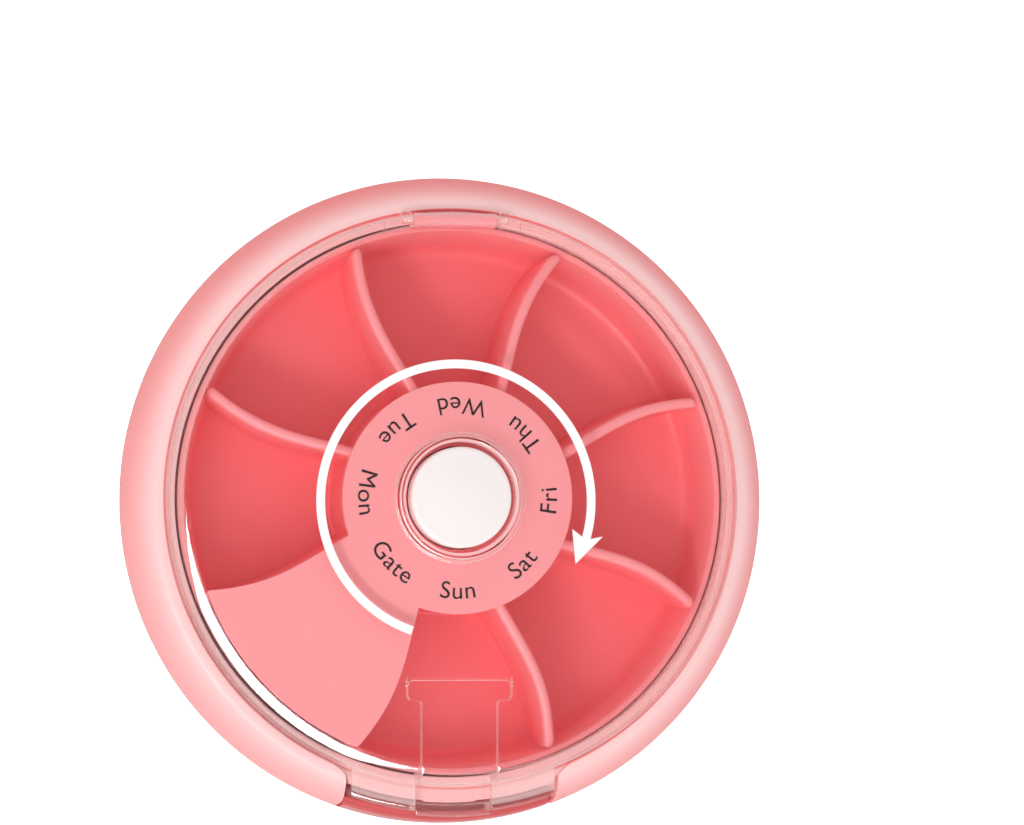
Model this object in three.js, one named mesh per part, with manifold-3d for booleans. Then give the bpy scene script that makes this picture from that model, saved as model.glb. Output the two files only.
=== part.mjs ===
// Travel pill organizer: a round dispenser, 90 mm across, with a compartment for each day.
//
// A wheel of eight compartments turns inside the case, seven for the days and one closed by a gate.
// Pressing the centre button drives the wheel one compartment further by a twisted plunger.
// A clear lid is hinged at the rear, and a clear door in it lets one day's pills out at the front.
//
// Millimetres, +Z up. The origin is the middle of the flat underside, and the door faces -Y.
// Angles are in degrees, counted from +X towards +Y.

import * as THREE from 'three';
import { mergeVertices } from 'three/addons/utils/BufferGeometryUtils.js';
import Module from 'manifold-3d';

const wasm = await Module();
wasm.setup();

// ---------------------------------------------------------------- driving dimensions

const GAP = 0.3;
const FRONT = 270;

// A length longer than any part, for the bodies that cut and slice.
const FAR = 60;

const SEGMENTS = { large: 60, medium: 30, small: 12 };

const CASE = {
  radius: 45,
  footRadius: 31,
  wall: 2,
  sideWall: 2.8,
  parting: 10.2,
  crown: 20.4,
  crownRadius: 40.6,
  ledge: 19.2,
  ledgeRadius: 39.7,
  bore: 38.3,
};

// The base shell's rim, which the ring is pushed over.
const SHELL_LIP = { outer: 42.7, inner: 41.7, top: 12 };

// The ring's inside, from under the ledge down to the parting line.
const RIM_INSIDE = {
  ledgeBottom: 17.8,
  bendRadius: 40,
  bend: 17.2,
  flankRadius: 42.3,
  flank: 14.6,
  wallRadius: 43,
};

// The gap in the rim at the front, which the lid's tab fills, with a wall of the base below it.
const NOTCH = {
  halfWidth: 14.8,
  endWall: 1.2,
  backRadius: 41.6,
  sillRadius: 39.6,
  webThickness: 1.4,
  wallTop: 14.5,
  wallRadius: 43.2,
  wallChamfer: 0.5,
};

// The bead behind the tab that keeps the lid shut.
const CATCH = { reach: 0.3, halfAngle: 5, bottom: 16.6, top: 17.4 };

const SPINDLE = {
  radius: 6,
  bore: 4.6,
  shoulder: 8,
  flange: 12.6,
  flangeBottom: 4.3,
  flangeTop: 5.6,
  guideTop: 7,
  shoulderTop: 8.3,
  grooveBottom: 12.2,
  grooveTop: 13.3,
  grooveRadius: 5.4,
  top: 14.2,
};

const SCREW = {
  head: 1.6,
  headHeight: 0.9,
  shank: 0.6,
  length: 4.6,
  slotHalfWidth: 0.25,
  slotHalfLength: 1.1,
  slotDepth: 0.4,
  circle: 10.2,
  boss: 2.2,
};

const RETAINER = { outer: 8.1, bottom: 12.5, top: 13, from: -55, to: 235 };

const WHEEL = {
  compartments: 8,
  underside: 8.6,
  floor: 9.9,
  floorRadius: 36.2,
  rimRadius: 38,
  rimTop: 18.7,
  wall: 0.9,
  fillet: 1.6,
  hubRadius: 15.5,
  hubWall: 1.5,
  hubTop: 22.7,
  sleeveRadius: 8,
  sleeveTop: 12,
  bearing: 6.35,
  seatRadius: 12.6,
  seatTop: 13.7,
};

const DIVIDER = {
  thickness: 1.5,
  first: 21.5,
  innerRadius: 14.8,
  outerRadius: 36.8,
  bulge: 3.5,
  stations: 7,
  innerTop: 23.4,
  middleTop: 22.6,
  middleRadius: 28,
  outerTop: 20.5,
  tipDrop: 0.6,
};

const PLATE = { radius: 15.9, gateRadius: 36.3, bottom: 23, top: 24.3, hole: 7.3, sleeve: 8.6, overlap: 0.1 };

const RATCHET = { outer: 13.7, tip: 10.7, root: 12.4, bottom: 14, top: 17.2 };
const DRIVER = { discRadius: 9.6, hexRadius: 8.4, bottom: 14.5, step: 15.9, top: 16.7, sectionRate: -15 };
const PAWL = {
  ring: 0.6,
  reach: 10.4,
  thickness: 0.55,
  first: 10,
  sweep: 62,
  stations: 6,
  bottom: 14.7,
  top: 15.6,
  count: 3,
};

const BUTTON = { radius: 6.95, top: 28.5, roof: 1.5, skirtBottom: 21.5, wall: 1.1, boss: 3.4 };

// The button's face: how far it has dropped from its top at each radius.
const BUTTON_DOME = [[0, 0], [3.6, 0.12], [5.8, 0.45], [6.6, 0.75], [6.95, 1.5]];

const PLUNGER = {
  guideSide: 3,
  guideBottom: 5.3,
  flangeRadius: 4.2,
  flangeBottom: 12.7,
  flangeTop: 13.5,
  twistSide: 4,
  twistTop: 20,
  headSide: 2.6,
  headTop: 24.3,
};
const SPRING = { radius: 3.5, wire: 0.3, bottom: 7.3, top: 12.4, turns: 3.5 };

const LID = {
  radius: 39.3,
  corner: 3.2,
  thickness: 1.4,
  top: 26.2,
  bottom: 19.5,
  hole: 7.6,
  collarRadius: 9.05,
  collarTop: 27.4,
  collarChamfer: 0.3,
  tabHalf: 14.1,
  tabTop: 20.8,
  tabChamfer: 0.7,
  skirtInner: 42.2,
  skirtOuter: 43.2,
  skirtBottom: 15,
};
const LID_HINGE = {
  y: 38.3,
  z: 21.8,
  pin: 0.5,
  pinHalf: 7.3,
  lugHalf: 5.8,
  lugRadius: 0.95,
  footDepth: 1.45,
  footBottom: 18.4,
  footTop: 19.8,
  lugRoom: 1.6,
  knuckle: 1.15,
  knuckleEnd: 7.6,
  reliefHalf: 9.5,
  reliefTop: 20.2,
};

const DOOR = {
  hingeY: -25.4,
  hingeZ: 25.45,
  barrel: 0.7,
  pin: 0.4,
  pinEnd: 7.5,
  barHalf: 7.15,
  barFront: -27.6,
  stemHalf: 5.2,
  chamfer: 0.7,
  lipRadius: 43.7,
  lipBottom: 19.4,
  lipChamfer: 0.5,
};

const DETENT = {
  x: 13.2,
  y: 26,
  postRadius: 2.4,
  postTop: 5.6,
  halfWidth: 2,
  leaf: 0.4,
  tail: -3,
  flatEnd: 4,
  bumpHalf: 1.3,
  bumpHeight: 0.5,
  toeHeight: 0.8,
  notch: 0.5,
  notchReach: 2.6,
  notchHalfAngle: 2.4,
};

const COLOURS = {
  coral: 0xe9686b,
  blush: 0xfcc0bf,
  rose: 0xfca1a4,
  clear: 0xf6eeee,
  white: 0xfbf6f6,
  natural: 0xefece6,
  steel: 0xb9bcc0,
};

// ---------------------------------------------------------------- shaping helpers

const radians = (degrees) => (degrees * Math.PI) / 180;

function polar(radius, degrees) {
  return [radius * Math.cos(radians(degrees)), radius * Math.sin(radians(degrees))];
}

// Points [r, z] along an elliptical arc about a centre, both ends included.
function arc([centreR, centreZ], [radiusR, radiusZ], from, to, steps) {
  const points = [];
  for (let step = 0; step <= steps; step += 1) {
    const angle = radians(from + ((to - from) * step) / steps);
    points.push([centreR + radiusR * Math.cos(angle), centreZ + radiusZ * Math.sin(angle)]);
  }
  return points;
}

// A solid from a closed geometry: vertices in the same place become one, and slivers go.
function solid(geometry) {
  geometry.deleteAttribute('normal');
  geometry.deleteAttribute('uv');
  const merged = mergeVertices(geometry, 1e-4);
  const corners = merged.index.array;
  const kept = [];
  for (let i = 0; i < corners.length; i += 3) {
    const [a, b, c] = [corners[i], corners[i + 1], corners[i + 2]];
    if (a !== b && b !== c && c !== a) {
      kept.push(a, b, c);
    }
  }
  const mesh = new wasm.Mesh({
    numProp: 3,
    vertProperties: merged.attributes.position.array,
    triVerts: new Uint32Array(kept),
  });
  return new wasm.Manifold(mesh);
}

function signedArea(points) {
  let area = 0;
  points.forEach(([x, y], i) => {
    const [nextX, nextY] = points[(i + 1) % points.length];
    area += (x * nextY - nextX * y) / 2;
  });
  return area;
}

// A body turned about +Z from an outline of [r, z] points.
function turned(outline, segments = SEGMENTS.large) {
  const ordered = signedArea(outline) > 0 ? outline : [...outline].reverse();
  const closed = [...ordered, ordered[0]].map(([r, z]) => new THREE.Vector2(r, z));
  const geometry = new THREE.LatheGeometry(closed, segments);
  geometry.rotateX(Math.PI / 2);
  return solid(geometry);
}

// An upright prism over an outline of [x, y] points.
function prism(outline, bottom, top, steps = 1) {
  const shape = new THREE.Shape(outline.map(([x, y]) => new THREE.Vector2(x, y)));
  const geometry = new THREE.ExtrudeGeometry(shape, { depth: top - bottom, steps, bevelEnabled: false });
  geometry.translate(0, 0, bottom);
  return geometry;
}

function upright(outline, bottom, top) {
  return solid(prism(outline, bottom, top));
}

function block([x0, y0, z0], [x1, y1, z1]) {
  const geometry = new THREE.BoxGeometry(x1 - x0, y1 - y0, z1 - z0);
  geometry.translate((x0 + x1) / 2, (y0 + y1) / 2, (z0 + z1) / 2);
  return solid(geometry);
}

function squareBar(side, bottom, top) {
  return block([-side / 2, -side / 2, bottom], [side / 2, side / 2, top]);
}

// A round bar along +Z.
function post(radius, bottom, top, [x, y] = [0, 0], segments = SEGMENTS.small) {
  const geometry = new THREE.CylinderGeometry(radius, radius, top - bottom, segments);
  geometry.rotateX(Math.PI / 2);
  geometry.translate(x, y, (bottom + top) / 2);
  return solid(geometry);
}

// A round bar along X, at a given y and z.
function crossBar(radius, fromX, toX, y, z, segments = SEGMENTS.small) {
  const geometry = new THREE.CylinderGeometry(radius, radius, toX - fromX, segments);
  geometry.rotateZ(Math.PI / 2);
  geometry.translate((fromX + toX) / 2, y, z);
  return solid(geometry);
}

// A sector of a ring, between two radii and two angles.
function sector([inner, outer], [from, to], [bottom, top]) {
  const steps = Math.max(2, Math.round((to - from) / 9));
  const outline = arc([0, 0], [outer, outer], from, to, steps);
  outline.push(...arc([0, 0], [inner, inner], to, from, steps));
  return upright(outline, bottom, top);
}

// A square bar that turns by a steady rate in degrees per millimetre, square to X at height 0.
function twistedBar(side, bottom, top) {
  const half = side / 2;
  const outline = [[-half, -half], [half, -half], [half, half], [-half, half]];
  const geometry = prism(outline, bottom, top, Math.ceil((top - bottom) * 2));
  const position = geometry.attributes.position;
  const point = new THREE.Vector3();
  for (let i = 0; i < position.count; i += 1) {
    point.fromBufferAttribute(position, i);
    point.applyAxisAngle(new THREE.Vector3(0, 0, 1), radians(DRIVER.sectionRate * point.z));
    position.setXYZ(i, point.x, point.y, point.z);
  }
  return solid(geometry);
}

// The front of the whole object, between two upright planes.
const frontSlice = (halfWidth) => block([-halfWidth, -FAR, 0], [halfWidth, 0, FAR]);

const joined = (...solids) => solids.reduce((whole, next) => whole.add(next));
const without = (whole, ...cuts) => cuts.reduce((rest, cut) => rest.subtract(cut), whole);

function around(count, start, make) {
  return Array.from({ length: count }, (_, i) => make(start + (360 * i) / count, i));
}

// ---------------------------------------------------------------- case

// Upper half of the case's outer surface, from the parting line to the crown.
function rimArc(parting) {
  const size = [CASE.radius - CASE.crownRadius, CASE.crown - parting];
  return arc([CASE.crownRadius, parting], size, 0, 90, 7);
}

const screwPlaces = around(3, 90, (angle) => polar(SCREW.circle, angle));

function baseShell() {
  const { radius, footRadius, wall, sideWall, parting } = CASE;
  const lip = SHELL_LIP;
  const outline = [
    [0, 0],
    ...arc([footRadius, parting], [radius - footRadius, parting], 270, 360, 7),
    [lip.outer, parting],
    [lip.outer, lip.top],
    [lip.inner, lip.top],
    ...arc([footRadius, parting], [radius - footRadius - sideWall, parting - wall], 345, 270, 4),
    [0, wall],
  ];
  const lipRing = sector([lip.inner - 1, lip.outer + 0.8], [FRONT - 45, FRONT + 45], [parting, lip.top + 1]);
  const lipGap = lipRing.intersect(frontSlice(NOTCH.halfWidth + NOTCH.endWall + 2 * GAP));
  const shell = turned(outline).subtract(lipGap);

  const n = NOTCH;
  const wallOutline = [
    [n.sillRadius, parting - n.webThickness],
    [radius - GAP, parting - n.webThickness],
    ...arc([CASE.crownRadius, parting], [radius - CASE.crownRadius - 0.02, CASE.crown - parting], 0, 22, 2),
    [n.wallRadius + n.wallChamfer, n.wallTop],
    [n.wallRadius, n.wallTop - n.wallChamfer],
    [n.wallRadius, parting],
    [n.sillRadius, parting],
  ];
  const frontWall = turned(wallOutline).intersect(frontSlice(n.halfWidth - GAP - 0.1));

  const bossTop = SPINDLE.flangeBottom - GAP;
  const bosses = screwPlaces.map((place) => post(SCREW.boss, wall - 0.2, bossTop, place));
  const bores = screwPlaces.map((place) => post(SCREW.shank + GAP, wall / 2, bossTop + 1, place));
  const detentPost = post(DETENT.postRadius, wall - 0.2, DETENT.postTop, [0, DETENT.y]);
  const detentBore = post(SCREW.shank + GAP, wall * 0.8, DETENT.postTop + 1, [0, DETENT.y]);
  return without(joined(shell, frontWall, ...bosses, detentPost), ...bores, detentBore);
}

function rimRing() {
  const bottom = CASE.parting + GAP;
  const inside = RIM_INSIDE;
  const n = NOTCH;
  const upper = [
    ...rimArc(bottom),
    [CASE.ledgeRadius + 0.2, CASE.crown - 0.25],
    [CASE.ledgeRadius, CASE.ledge],
    [CASE.bore, CASE.ledge],
    [CASE.bore, inside.ledgeBottom],
  ];
  const hollow = [
    [inside.bendRadius, inside.bend],
    [inside.flankRadius, inside.flank],
    [inside.wallRadius, bottom],
  ];
  const shell = turned([...upper, ...hollow]);
  const filled = turned([...upper, [n.sillRadius, inside.bend], [n.sillRadius, bottom]]);
  const front = filled.intersect(frontSlice(n.halfWidth + n.endWall));
  const deep = sector([n.backRadius, FAR], [FRONT - 45, FRONT + 45], [0, FAR]);
  const shelf = sector([CASE.bore, FAR], [FRONT - 45, FRONT + 45], [CASE.ledge, FAR]);
  const notch = deep.add(shelf).intersect(frontSlice(n.halfWidth));
  const beadReach = [n.backRadius - CATCH.reach, n.backRadius + CATCH.reach];
  const beadSpan = [FRONT - CATCH.halfAngle, FRONT + CATCH.halfAngle];
  const catchBead = sector(beadReach, beadSpan, [CATCH.bottom, CATCH.top]);

  const { y, z, lugHalf, lugRadius, pin, footDepth, footBottom, footTop } = LID_HINGE;
  const lug = block([-lugHalf, y - lugRadius, CASE.ledge - 0.4], [lugHalf, y + lugRadius, z]);
  const lugTop = crossBar(lugRadius, -lugHalf, lugHalf, y, z);
  const lugFoot = block([-lugHalf, y, footBottom], [lugHalf, y + footDepth, footTop]);
  const pinBore = crossBar(pin + GAP / 2, -lugHalf - 1, lugHalf + 1, y, z);
  const ring = joined(shell, front).subtract(notch);
  return joined(ring, catchBead, lug, lugTop, lugFoot).subtract(pinBore);
}

function screw(headBottom, [x, y]) {
  const head = post(SCREW.head, headBottom, headBottom + SCREW.headHeight, [x, y]);
  const shank = post(SCREW.shank, headBottom - SCREW.length, headBottom + 0.1, [x, y], 10);
  const { slotHalfWidth, slotHalfLength, slotDepth, headHeight } = SCREW;
  const slot = block(
    [x - slotHalfWidth, y - slotHalfLength, headBottom + headHeight - slotDepth],
    [x + slotHalfWidth, y + slotHalfLength, headBottom + headHeight + 1],
  );
  return joined(head, shank).subtract(slot);
}

// ---------------------------------------------------------------- spindle and its fittings

function spindle() {
  const s = SPINDLE;
  const outline = [
    [0, s.flangeBottom], [s.flange, s.flangeBottom], [s.flange, s.flangeTop],
    [s.shoulder, s.flangeTop], [s.shoulder, s.shoulderTop],
    [s.radius, s.shoulderTop], [s.radius, s.grooveBottom],
    [s.grooveRadius, s.grooveBottom], [s.grooveRadius, s.grooveTop],
    [s.radius, s.grooveTop], [s.radius, s.top],
    [s.bore, s.top], [s.bore, s.guideTop], [0, s.guideTop],
  ];
  const guide = squareBar(PLUNGER.guideSide + 2 * GAP, s.flangeBottom - 1, s.guideTop + 1);
  const holes = screwPlaces.map((place) => post(SCREW.shank + GAP, s.flangeBottom - 1, s.flangeTop + 1, place));
  return without(turned(outline, SEGMENTS.medium), guide, ...holes);
}

// An open clip that sits in the spindle's groove and keeps the wheel down.
function trayRetainer() {
  const r = RETAINER;
  return sector([SPINDLE.grooveRadius + GAP, r.outer], [r.from, r.to], [r.bottom, r.top]);
}

// A leaf that presses a bump up against the wheel's underside, one notch for each compartment.
function detentSpring() {
  const d = DETENT;
  const low = d.postTop + GAP;
  const high = WHEEL.underside - GAP;
  const upper = [
    [d.tail, low + d.leaf], [d.flatEnd, low + d.leaf], [d.x - d.bumpHalf, high - d.bumpHeight],
    [d.x, high], [d.x + d.bumpHalf, high - d.bumpHeight], [d.x + 2 * d.bumpHalf, high - d.toeHeight],
  ];
  const lower = upper.map(([x, z]) => [x, z - d.leaf]).reverse();
  const geometry = prism([...upper, ...lower], -d.halfWidth, d.halfWidth);
  geometry.rotateX(Math.PI / 2);
  geometry.translate(0, d.y, 0);
  return solid(geometry).subtract(post(SCREW.shank + GAP, low - 1, low + 2, [0, d.y]));
}

// ---------------------------------------------------------------- wheel

// The middle line of a divider, which bows forward between the hub and the rim.
function dividerAngle(start, radius) {
  const along = (radius - DIVIDER.innerRadius) / (DIVIDER.outerRadius - DIVIDER.innerRadius);
  return start + DIVIDER.bulge * Math.sin(Math.PI * Math.min(1, along));
}

// Points down one side of a divider, offset sideways from its middle line.
function dividerSide(start, offset, outerRadius) {
  const points = [];
  for (let i = 0; i < DIVIDER.stations; i += 1) {
    const along = i / (DIVIDER.stations - 1);
    const radius = DIVIDER.innerRadius + (outerRadius - DIVIDER.innerRadius) * along;
    const sideways = (offset / radius) * (180 / Math.PI);
    points.push(polar(radius, dividerAngle(start, radius) + sideways));
  }
  return points;
}

function divider(start) {
  const half = DIVIDER.thickness / 2;
  const straight = DIVIDER.outerRadius - half;
  const tip = polar(DIVIDER.outerRadius, dividerAngle(start, DIVIDER.outerRadius));
  const outline = [
    ...dividerSide(start, -half, straight),
    tip,
    ...dividerSide(start, half, straight).reverse(),
  ];
  return upright(outline, WHEEL.underside + 0.4, WHEEL.hubTop + 3);
}

const dividerStarts = around(WHEEL.compartments, DIVIDER.first, (angle) => angle);

// The two dividers that the gate's fan covers are the fifth and the sixth.
const gateSides = dividerStarts.slice(4, 6);

// What the dividers stay under: sloping outwards, and lower where the label disc covers them.
function dividerCeiling() {
  const d = DIVIDER;
  const edge = PLATE.radius + GAP;
  return turned([
    [0, 0], [WHEEL.rimRadius, 0], [WHEEL.rimRadius, d.outerTop - d.tipDrop], [d.outerRadius, d.outerTop],
    [d.middleRadius, d.middleTop], [edge, d.innerTop], [edge, WHEEL.hubTop], [0, WHEEL.hubTop],
  ]);
}

function tray() {
  const w = WHEEL;
  const innerFloor = w.floorRadius - w.wall - w.fillet;
  const outline = [
    [w.bearing, w.underside], [w.floorRadius, w.underside], [w.rimRadius, w.rimTop],
    [w.rimRadius - w.wall, w.rimTop], [w.floorRadius - w.wall + 0.25, w.floor + w.fillet],
    [innerFloor + w.fillet * 0.75, w.floor + w.fillet * 0.3], [innerFloor, w.floor],
    [w.hubRadius, w.floor], [w.hubRadius, w.hubTop], [w.hubRadius - w.hubWall, w.hubTop],
    [w.hubRadius - w.hubWall, w.seatTop], [w.seatRadius, w.seatTop], [w.seatRadius, w.floor],
    [w.sleeveRadius, w.floor], [w.sleeveRadius, w.sleeveTop], [w.bearing, w.sleeveTop],
  ];
  const ceiling = dividerCeiling();
  const low = post(w.rimRadius, 0, w.hubTop - 0.01, [0, 0], SEGMENTS.medium);
  const dividers = dividerStarts.map((start) => {
    const blade = divider(start).intersect(ceiling);
    return gateSides.includes(start) ? blade.intersect(low) : blade;
  });
  const bumpRadius = Math.hypot(DETENT.x, DETENT.y);
  const bumpAngle = THREE.MathUtils.radToDeg(Math.atan2(DETENT.y, DETENT.x));
  const notches = around(w.compartments, bumpAngle, (angle) => {
    const reach = [bumpRadius - DETENT.notchReach, bumpRadius + DETENT.notchReach];
    const span = [angle - DETENT.notchHalfAngle, angle + DETENT.notchHalfAngle];
    return sector(reach, span, [w.underside - 1, w.underside + DETENT.notch]);
  });
  return without(joined(turned(outline), ...dividers), ...notches);
}

// The label disc in the middle, with the fan that closes the gate compartment.
function dayPlate() {
  const p = PLATE;
  const cover = DIVIDER.thickness / 2 + p.overlap;
  const near = dividerSide(gateSides[0], -cover, p.gateRadius);
  const far = dividerSide(gateSides[1], cover, p.gateRadius).reverse();
  const fromAngle = dividerAngle(gateSides[0], p.gateRadius);
  const toAngle = dividerAngle(gateSides[1], p.gateRadius);
  const edge = arc([0, 0], [p.gateRadius, p.gateRadius], fromAngle, toAngle, 10);
  const gate = upright([...near, ...edge, ...far], p.bottom, p.top);
  const disc = post(p.radius, p.bottom, p.top, [0, 0], SEGMENTS.large);
  const sleeve = post(p.sleeve, DRIVER.top + GAP, p.bottom + 0.2, [0, 0], SEGMENTS.medium);
  const hole = post(p.hole, 0, FAR, [0, 0], SEGMENTS.medium);
  return joined(disc, gate, sleeve).subtract(hole);
}

// A ring of saw teeth, one for each compartment, that the pawls push round.
function ratchetRing() {
  const r = RATCHET;
  const teeth = around(WHEEL.compartments, 0, (angle) => {
    const pitch = 360 / WHEEL.compartments;
    return arc([0, 0], [1, 1], angle, angle + pitch, 4).slice(0, 4).map(([x, y], i) => {
      const radius = r.tip + ((r.root - r.tip) * i) / 3;
      return [x * radius, y * radius];
    });
  }).flat();
  const opening = upright(teeth, r.bottom - 1, r.top + 1);
  return post(r.outer, r.bottom, r.top, [0, 0], SEGMENTS.medium).subtract(opening);
}

// ---------------------------------------------------------------- drive

function driverRing() {
  const d = DRIVER;
  const disc = post(d.discRadius, d.step, d.top, [0, 0], SEGMENTS.medium);
  const hexagon = post(d.hexRadius, d.bottom, d.step + 0.1, [0, 0], 6);
  return joined(disc, hexagon).subtract(twistedBar(PLUNGER.twistSide + 2 * GAP, d.bottom - 0.5, d.top + 0.5));
}

// A flat spring ring round the driver's hexagon, with arms that reach out to the saw teeth.
function pawlSpring() {
  const p = PAWL;
  const inner = DRIVER.hexRadius + GAP;
  const ring = post(inner + p.ring, p.bottom, p.top, [0, 0], SEGMENTS.medium);
  const arms = around(p.count, p.first, (start) => {
    const outerSide = [];
    const innerSide = [];
    for (let i = 0; i <= p.stations; i += 1) {
      const along = i / p.stations;
      const radius = inner + p.ring + (p.reach - inner - p.ring) * along;
      outerSide.push(polar(radius, start - p.sweep * along));
      innerSide.push(polar(radius - p.thickness, start - p.sweep * along));
    }
    return upright([...innerSide, ...outerSide.reverse()], p.bottom, p.top);
  });
  return joined(ring, ...arms).subtract(post(inner, p.bottom - 1, p.top + 1, [0, 0], 6));
}

function plunger() {
  const p = PLUNGER;
  return joined(
    squareBar(p.guideSide, p.guideBottom, p.flangeBottom + 0.1),
    post(p.flangeRadius, p.flangeBottom, p.flangeTop),
    twistedBar(p.twistSide, p.flangeTop - 0.1, p.twistTop),
    squareBar(p.headSide, p.twistTop - 0.1, p.headTop),
  );
}

function buttonCap() {
  const b = BUTTON;
  const bossBottom = PLUNGER.twistTop + GAP;
  const roof = b.top - b.roof;
  const outline = [
    ...BUTTON_DOME.map(([r, drop]) => [r, b.top - drop]),
    [b.radius, b.skirtBottom], [b.radius - b.wall, b.skirtBottom], [b.radius - b.wall, roof],
    [b.boss, roof], [b.boss, bossBottom], [0, bossBottom],
  ];
  const socket = squareBar(PLUNGER.headSide + 2 * GAP, bossBottom - 1, PLUNGER.headTop + GAP);
  return turned(outline, SEGMENTS.medium).subtract(socket);
}

function returnSpring() {
  const s = SPRING;
  class Coil extends THREE.Curve {
    getPoint(t, target = new THREE.Vector3()) {
      const angle = t * s.turns * Math.PI * 2;
      const low = s.bottom + s.wire;
      return target.set(
        s.radius * Math.cos(angle),
        s.radius * Math.sin(angle),
        low + t * (s.top - s.wire - low),
      );
    }
  }
  const section = arc([0, 0], [s.wire, s.wire], 0, 300, 5).map(([x, y]) => new THREE.Vector2(x, y));
  const geometry = new THREE.ExtrudeGeometry(new THREE.Shape(section), {
    steps: 44,
    extrudePath: new Coil(),
    bevelEnabled: false,
  });
  return solid(geometry);
}

// ---------------------------------------------------------------- clear lid and door

// The whole clear cover, before the door is cut out of it.
function clearCover() {
  const l = LID;
  const under = l.top - l.thickness;
  const cornerR = l.radius - l.corner;
  const cornerZ = l.top - l.corner;
  const inner = l.corner - l.thickness;
  const cap = turned([
    [l.radius - l.thickness, l.bottom], [l.radius, l.bottom],
    ...arc([cornerR, cornerZ], [l.corner, l.corner], 0, 90, 5),
    [l.collarRadius, l.top], [l.collarRadius - l.collarChamfer, l.collarTop],
    [l.hole + l.collarChamfer, l.collarTop], [l.hole, l.collarTop - l.collarChamfer], [l.hole, under],
    ...arc([cornerR, cornerZ], [inner, inner], 90, 0, 4),
  ]);
  const tab = turned([
    [l.radius - 0.6, l.bottom], [l.skirtInner, l.bottom], [l.skirtInner, l.skirtBottom],
    [l.skirtOuter, l.skirtBottom], [l.skirtOuter, l.tabTop - l.tabChamfer],
    [l.skirtOuter - l.tabChamfer, l.tabTop],
    [l.radius - 0.6, l.tabTop],
  ]);
  return cap.add(tab.intersect(frontSlice(l.tabHalf)));
}

// The outline of the T-shaped door seen from above, grown by a margin all round.
function doorOutline(margin, behind) {
  const d = DOOR;
  const bar = d.barHalf + margin;
  const stem = d.stemHalf + margin;
  const front = d.barFront - margin;
  const right = [
    [bar, behind], [bar, front + d.chamfer], [bar - d.chamfer, front],
    [stem, front], [stem, -FAR],
  ];
  const left = right.map(([x, y]) => [-x, y]).reverse();
  return [...left, ...right].reverse();
}

function lid() {
  const d = DOOR;
  const h = LID_HINGE;
  const opening = upright(doorOutline(GAP, d.hingeY + d.barrel + GAP), 0, FAR);
  const grooves = [-1, 1].map((side) => {
    const ends = [side * d.barHalf, side * (d.pinEnd + GAP)].sort((a, b) => a - b);
    const groove = d.pin + GAP;
    return block([ends[0], d.hingeY - groove, 0], [ends[1], d.hingeY + groove, d.hingeZ + d.pin]);
  });
  const lugGap = block([-h.lugHalf - GAP, LID.radius * 0.75, 0], [h.lugHalf + GAP, FAR, h.z + h.lugRoom]);
  const bottomRelief = block([-h.reliefHalf, LID.radius * 0.75, 0], [h.reliefHalf, FAR, h.reliefTop]);
  const knuckles = [-1, 1].map((side) => {
    const ends = [side * (h.lugHalf + GAP), side * h.knuckleEnd].sort((a, b) => a - b);
    return crossBar(h.knuckle, ends[0], ends[1], h.y, h.z);
  });
  const pinBore = crossBar(h.pin + GAP / 2, -h.pinHalf - 0.1, h.pinHalf + 0.1, h.y, h.z);
  const cover = without(clearCover(), opening, ...grooves, lugGap, bottomRelief);
  return joined(cover, ...knuckles).subtract(pinBore);
}

function dispensingDoor() {
  const d = DOOR;
  const flap = clearCover().intersect(upright(doorOutline(0, d.hingeY), 0, FAR));
  const barrel = crossBar(d.barrel, -d.barHalf, d.barHalf, d.hingeY, d.hingeZ);
  const pins = crossBar(d.pin, -d.pinEnd, d.pinEnd, d.hingeY, d.hingeZ);
  const lipShape = turned([
    [LID.skirtOuter - d.lipChamfer, d.lipBottom], [d.lipRadius - d.lipChamfer, d.lipBottom],
    [d.lipRadius, d.lipBottom + d.lipChamfer], [d.lipRadius - GAP, LID.tabTop - GAP],
    [LID.skirtOuter - LID.tabChamfer, LID.tabTop],
  ]);
  const lip = lipShape.intersect(frontSlice(d.stemHalf));
  return joined(flap, barrel, pins, lip);
}

// ---------------------------------------------------------------- assembly

const finishes = {
  coral: { color: COLOURS.coral, roughness: 0.35, metalness: 0 },
  blush: { color: COLOURS.blush, roughness: 0.3, metalness: 0 },
  rose: { color: COLOURS.rose, roughness: 0.45, metalness: 0 },
  clear: { color: COLOURS.clear, roughness: 0.06, metalness: 0, transparent: true, opacity: 0.3 },
  white: { color: COLOURS.white, roughness: 0.3, metalness: 0 },
  natural: { color: COLOURS.natural, roughness: 0.5, metalness: 0 },
  steel: { color: COLOURS.steel, roughness: 0.3, metalness: 1 },
};

function piece(name, body, finish) {
  const { vertProperties, triVerts } = body.getMesh();
  const geometry = new THREE.BufferGeometry();
  geometry.setAttribute('position', new THREE.BufferAttribute(new Float32Array(vertProperties), 3));
  geometry.setIndex(new THREE.BufferAttribute(new Uint32Array(triVerts), 1));
  geometry.computeVertexNormals();
  const mesh = new THREE.Mesh(geometry, new THREE.MeshStandardMaterial(finishes[finish]));
  mesh.name = name;
  return mesh;
}

function group(...members) {
  const result = new THREE.Group();
  result.add(...members);
  return result;
}

const detentScrewHead = DETENT.postTop + DETENT.leaf + 2 * GAP;
const hinge = LID_HINGE;

const spindleScrews = screwPlaces.map((place, i) => (
  piece(`spindle_screw_${i + 1}`, screw(SPINDLE.flangeTop + GAP, place), 'steel')
));

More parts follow.
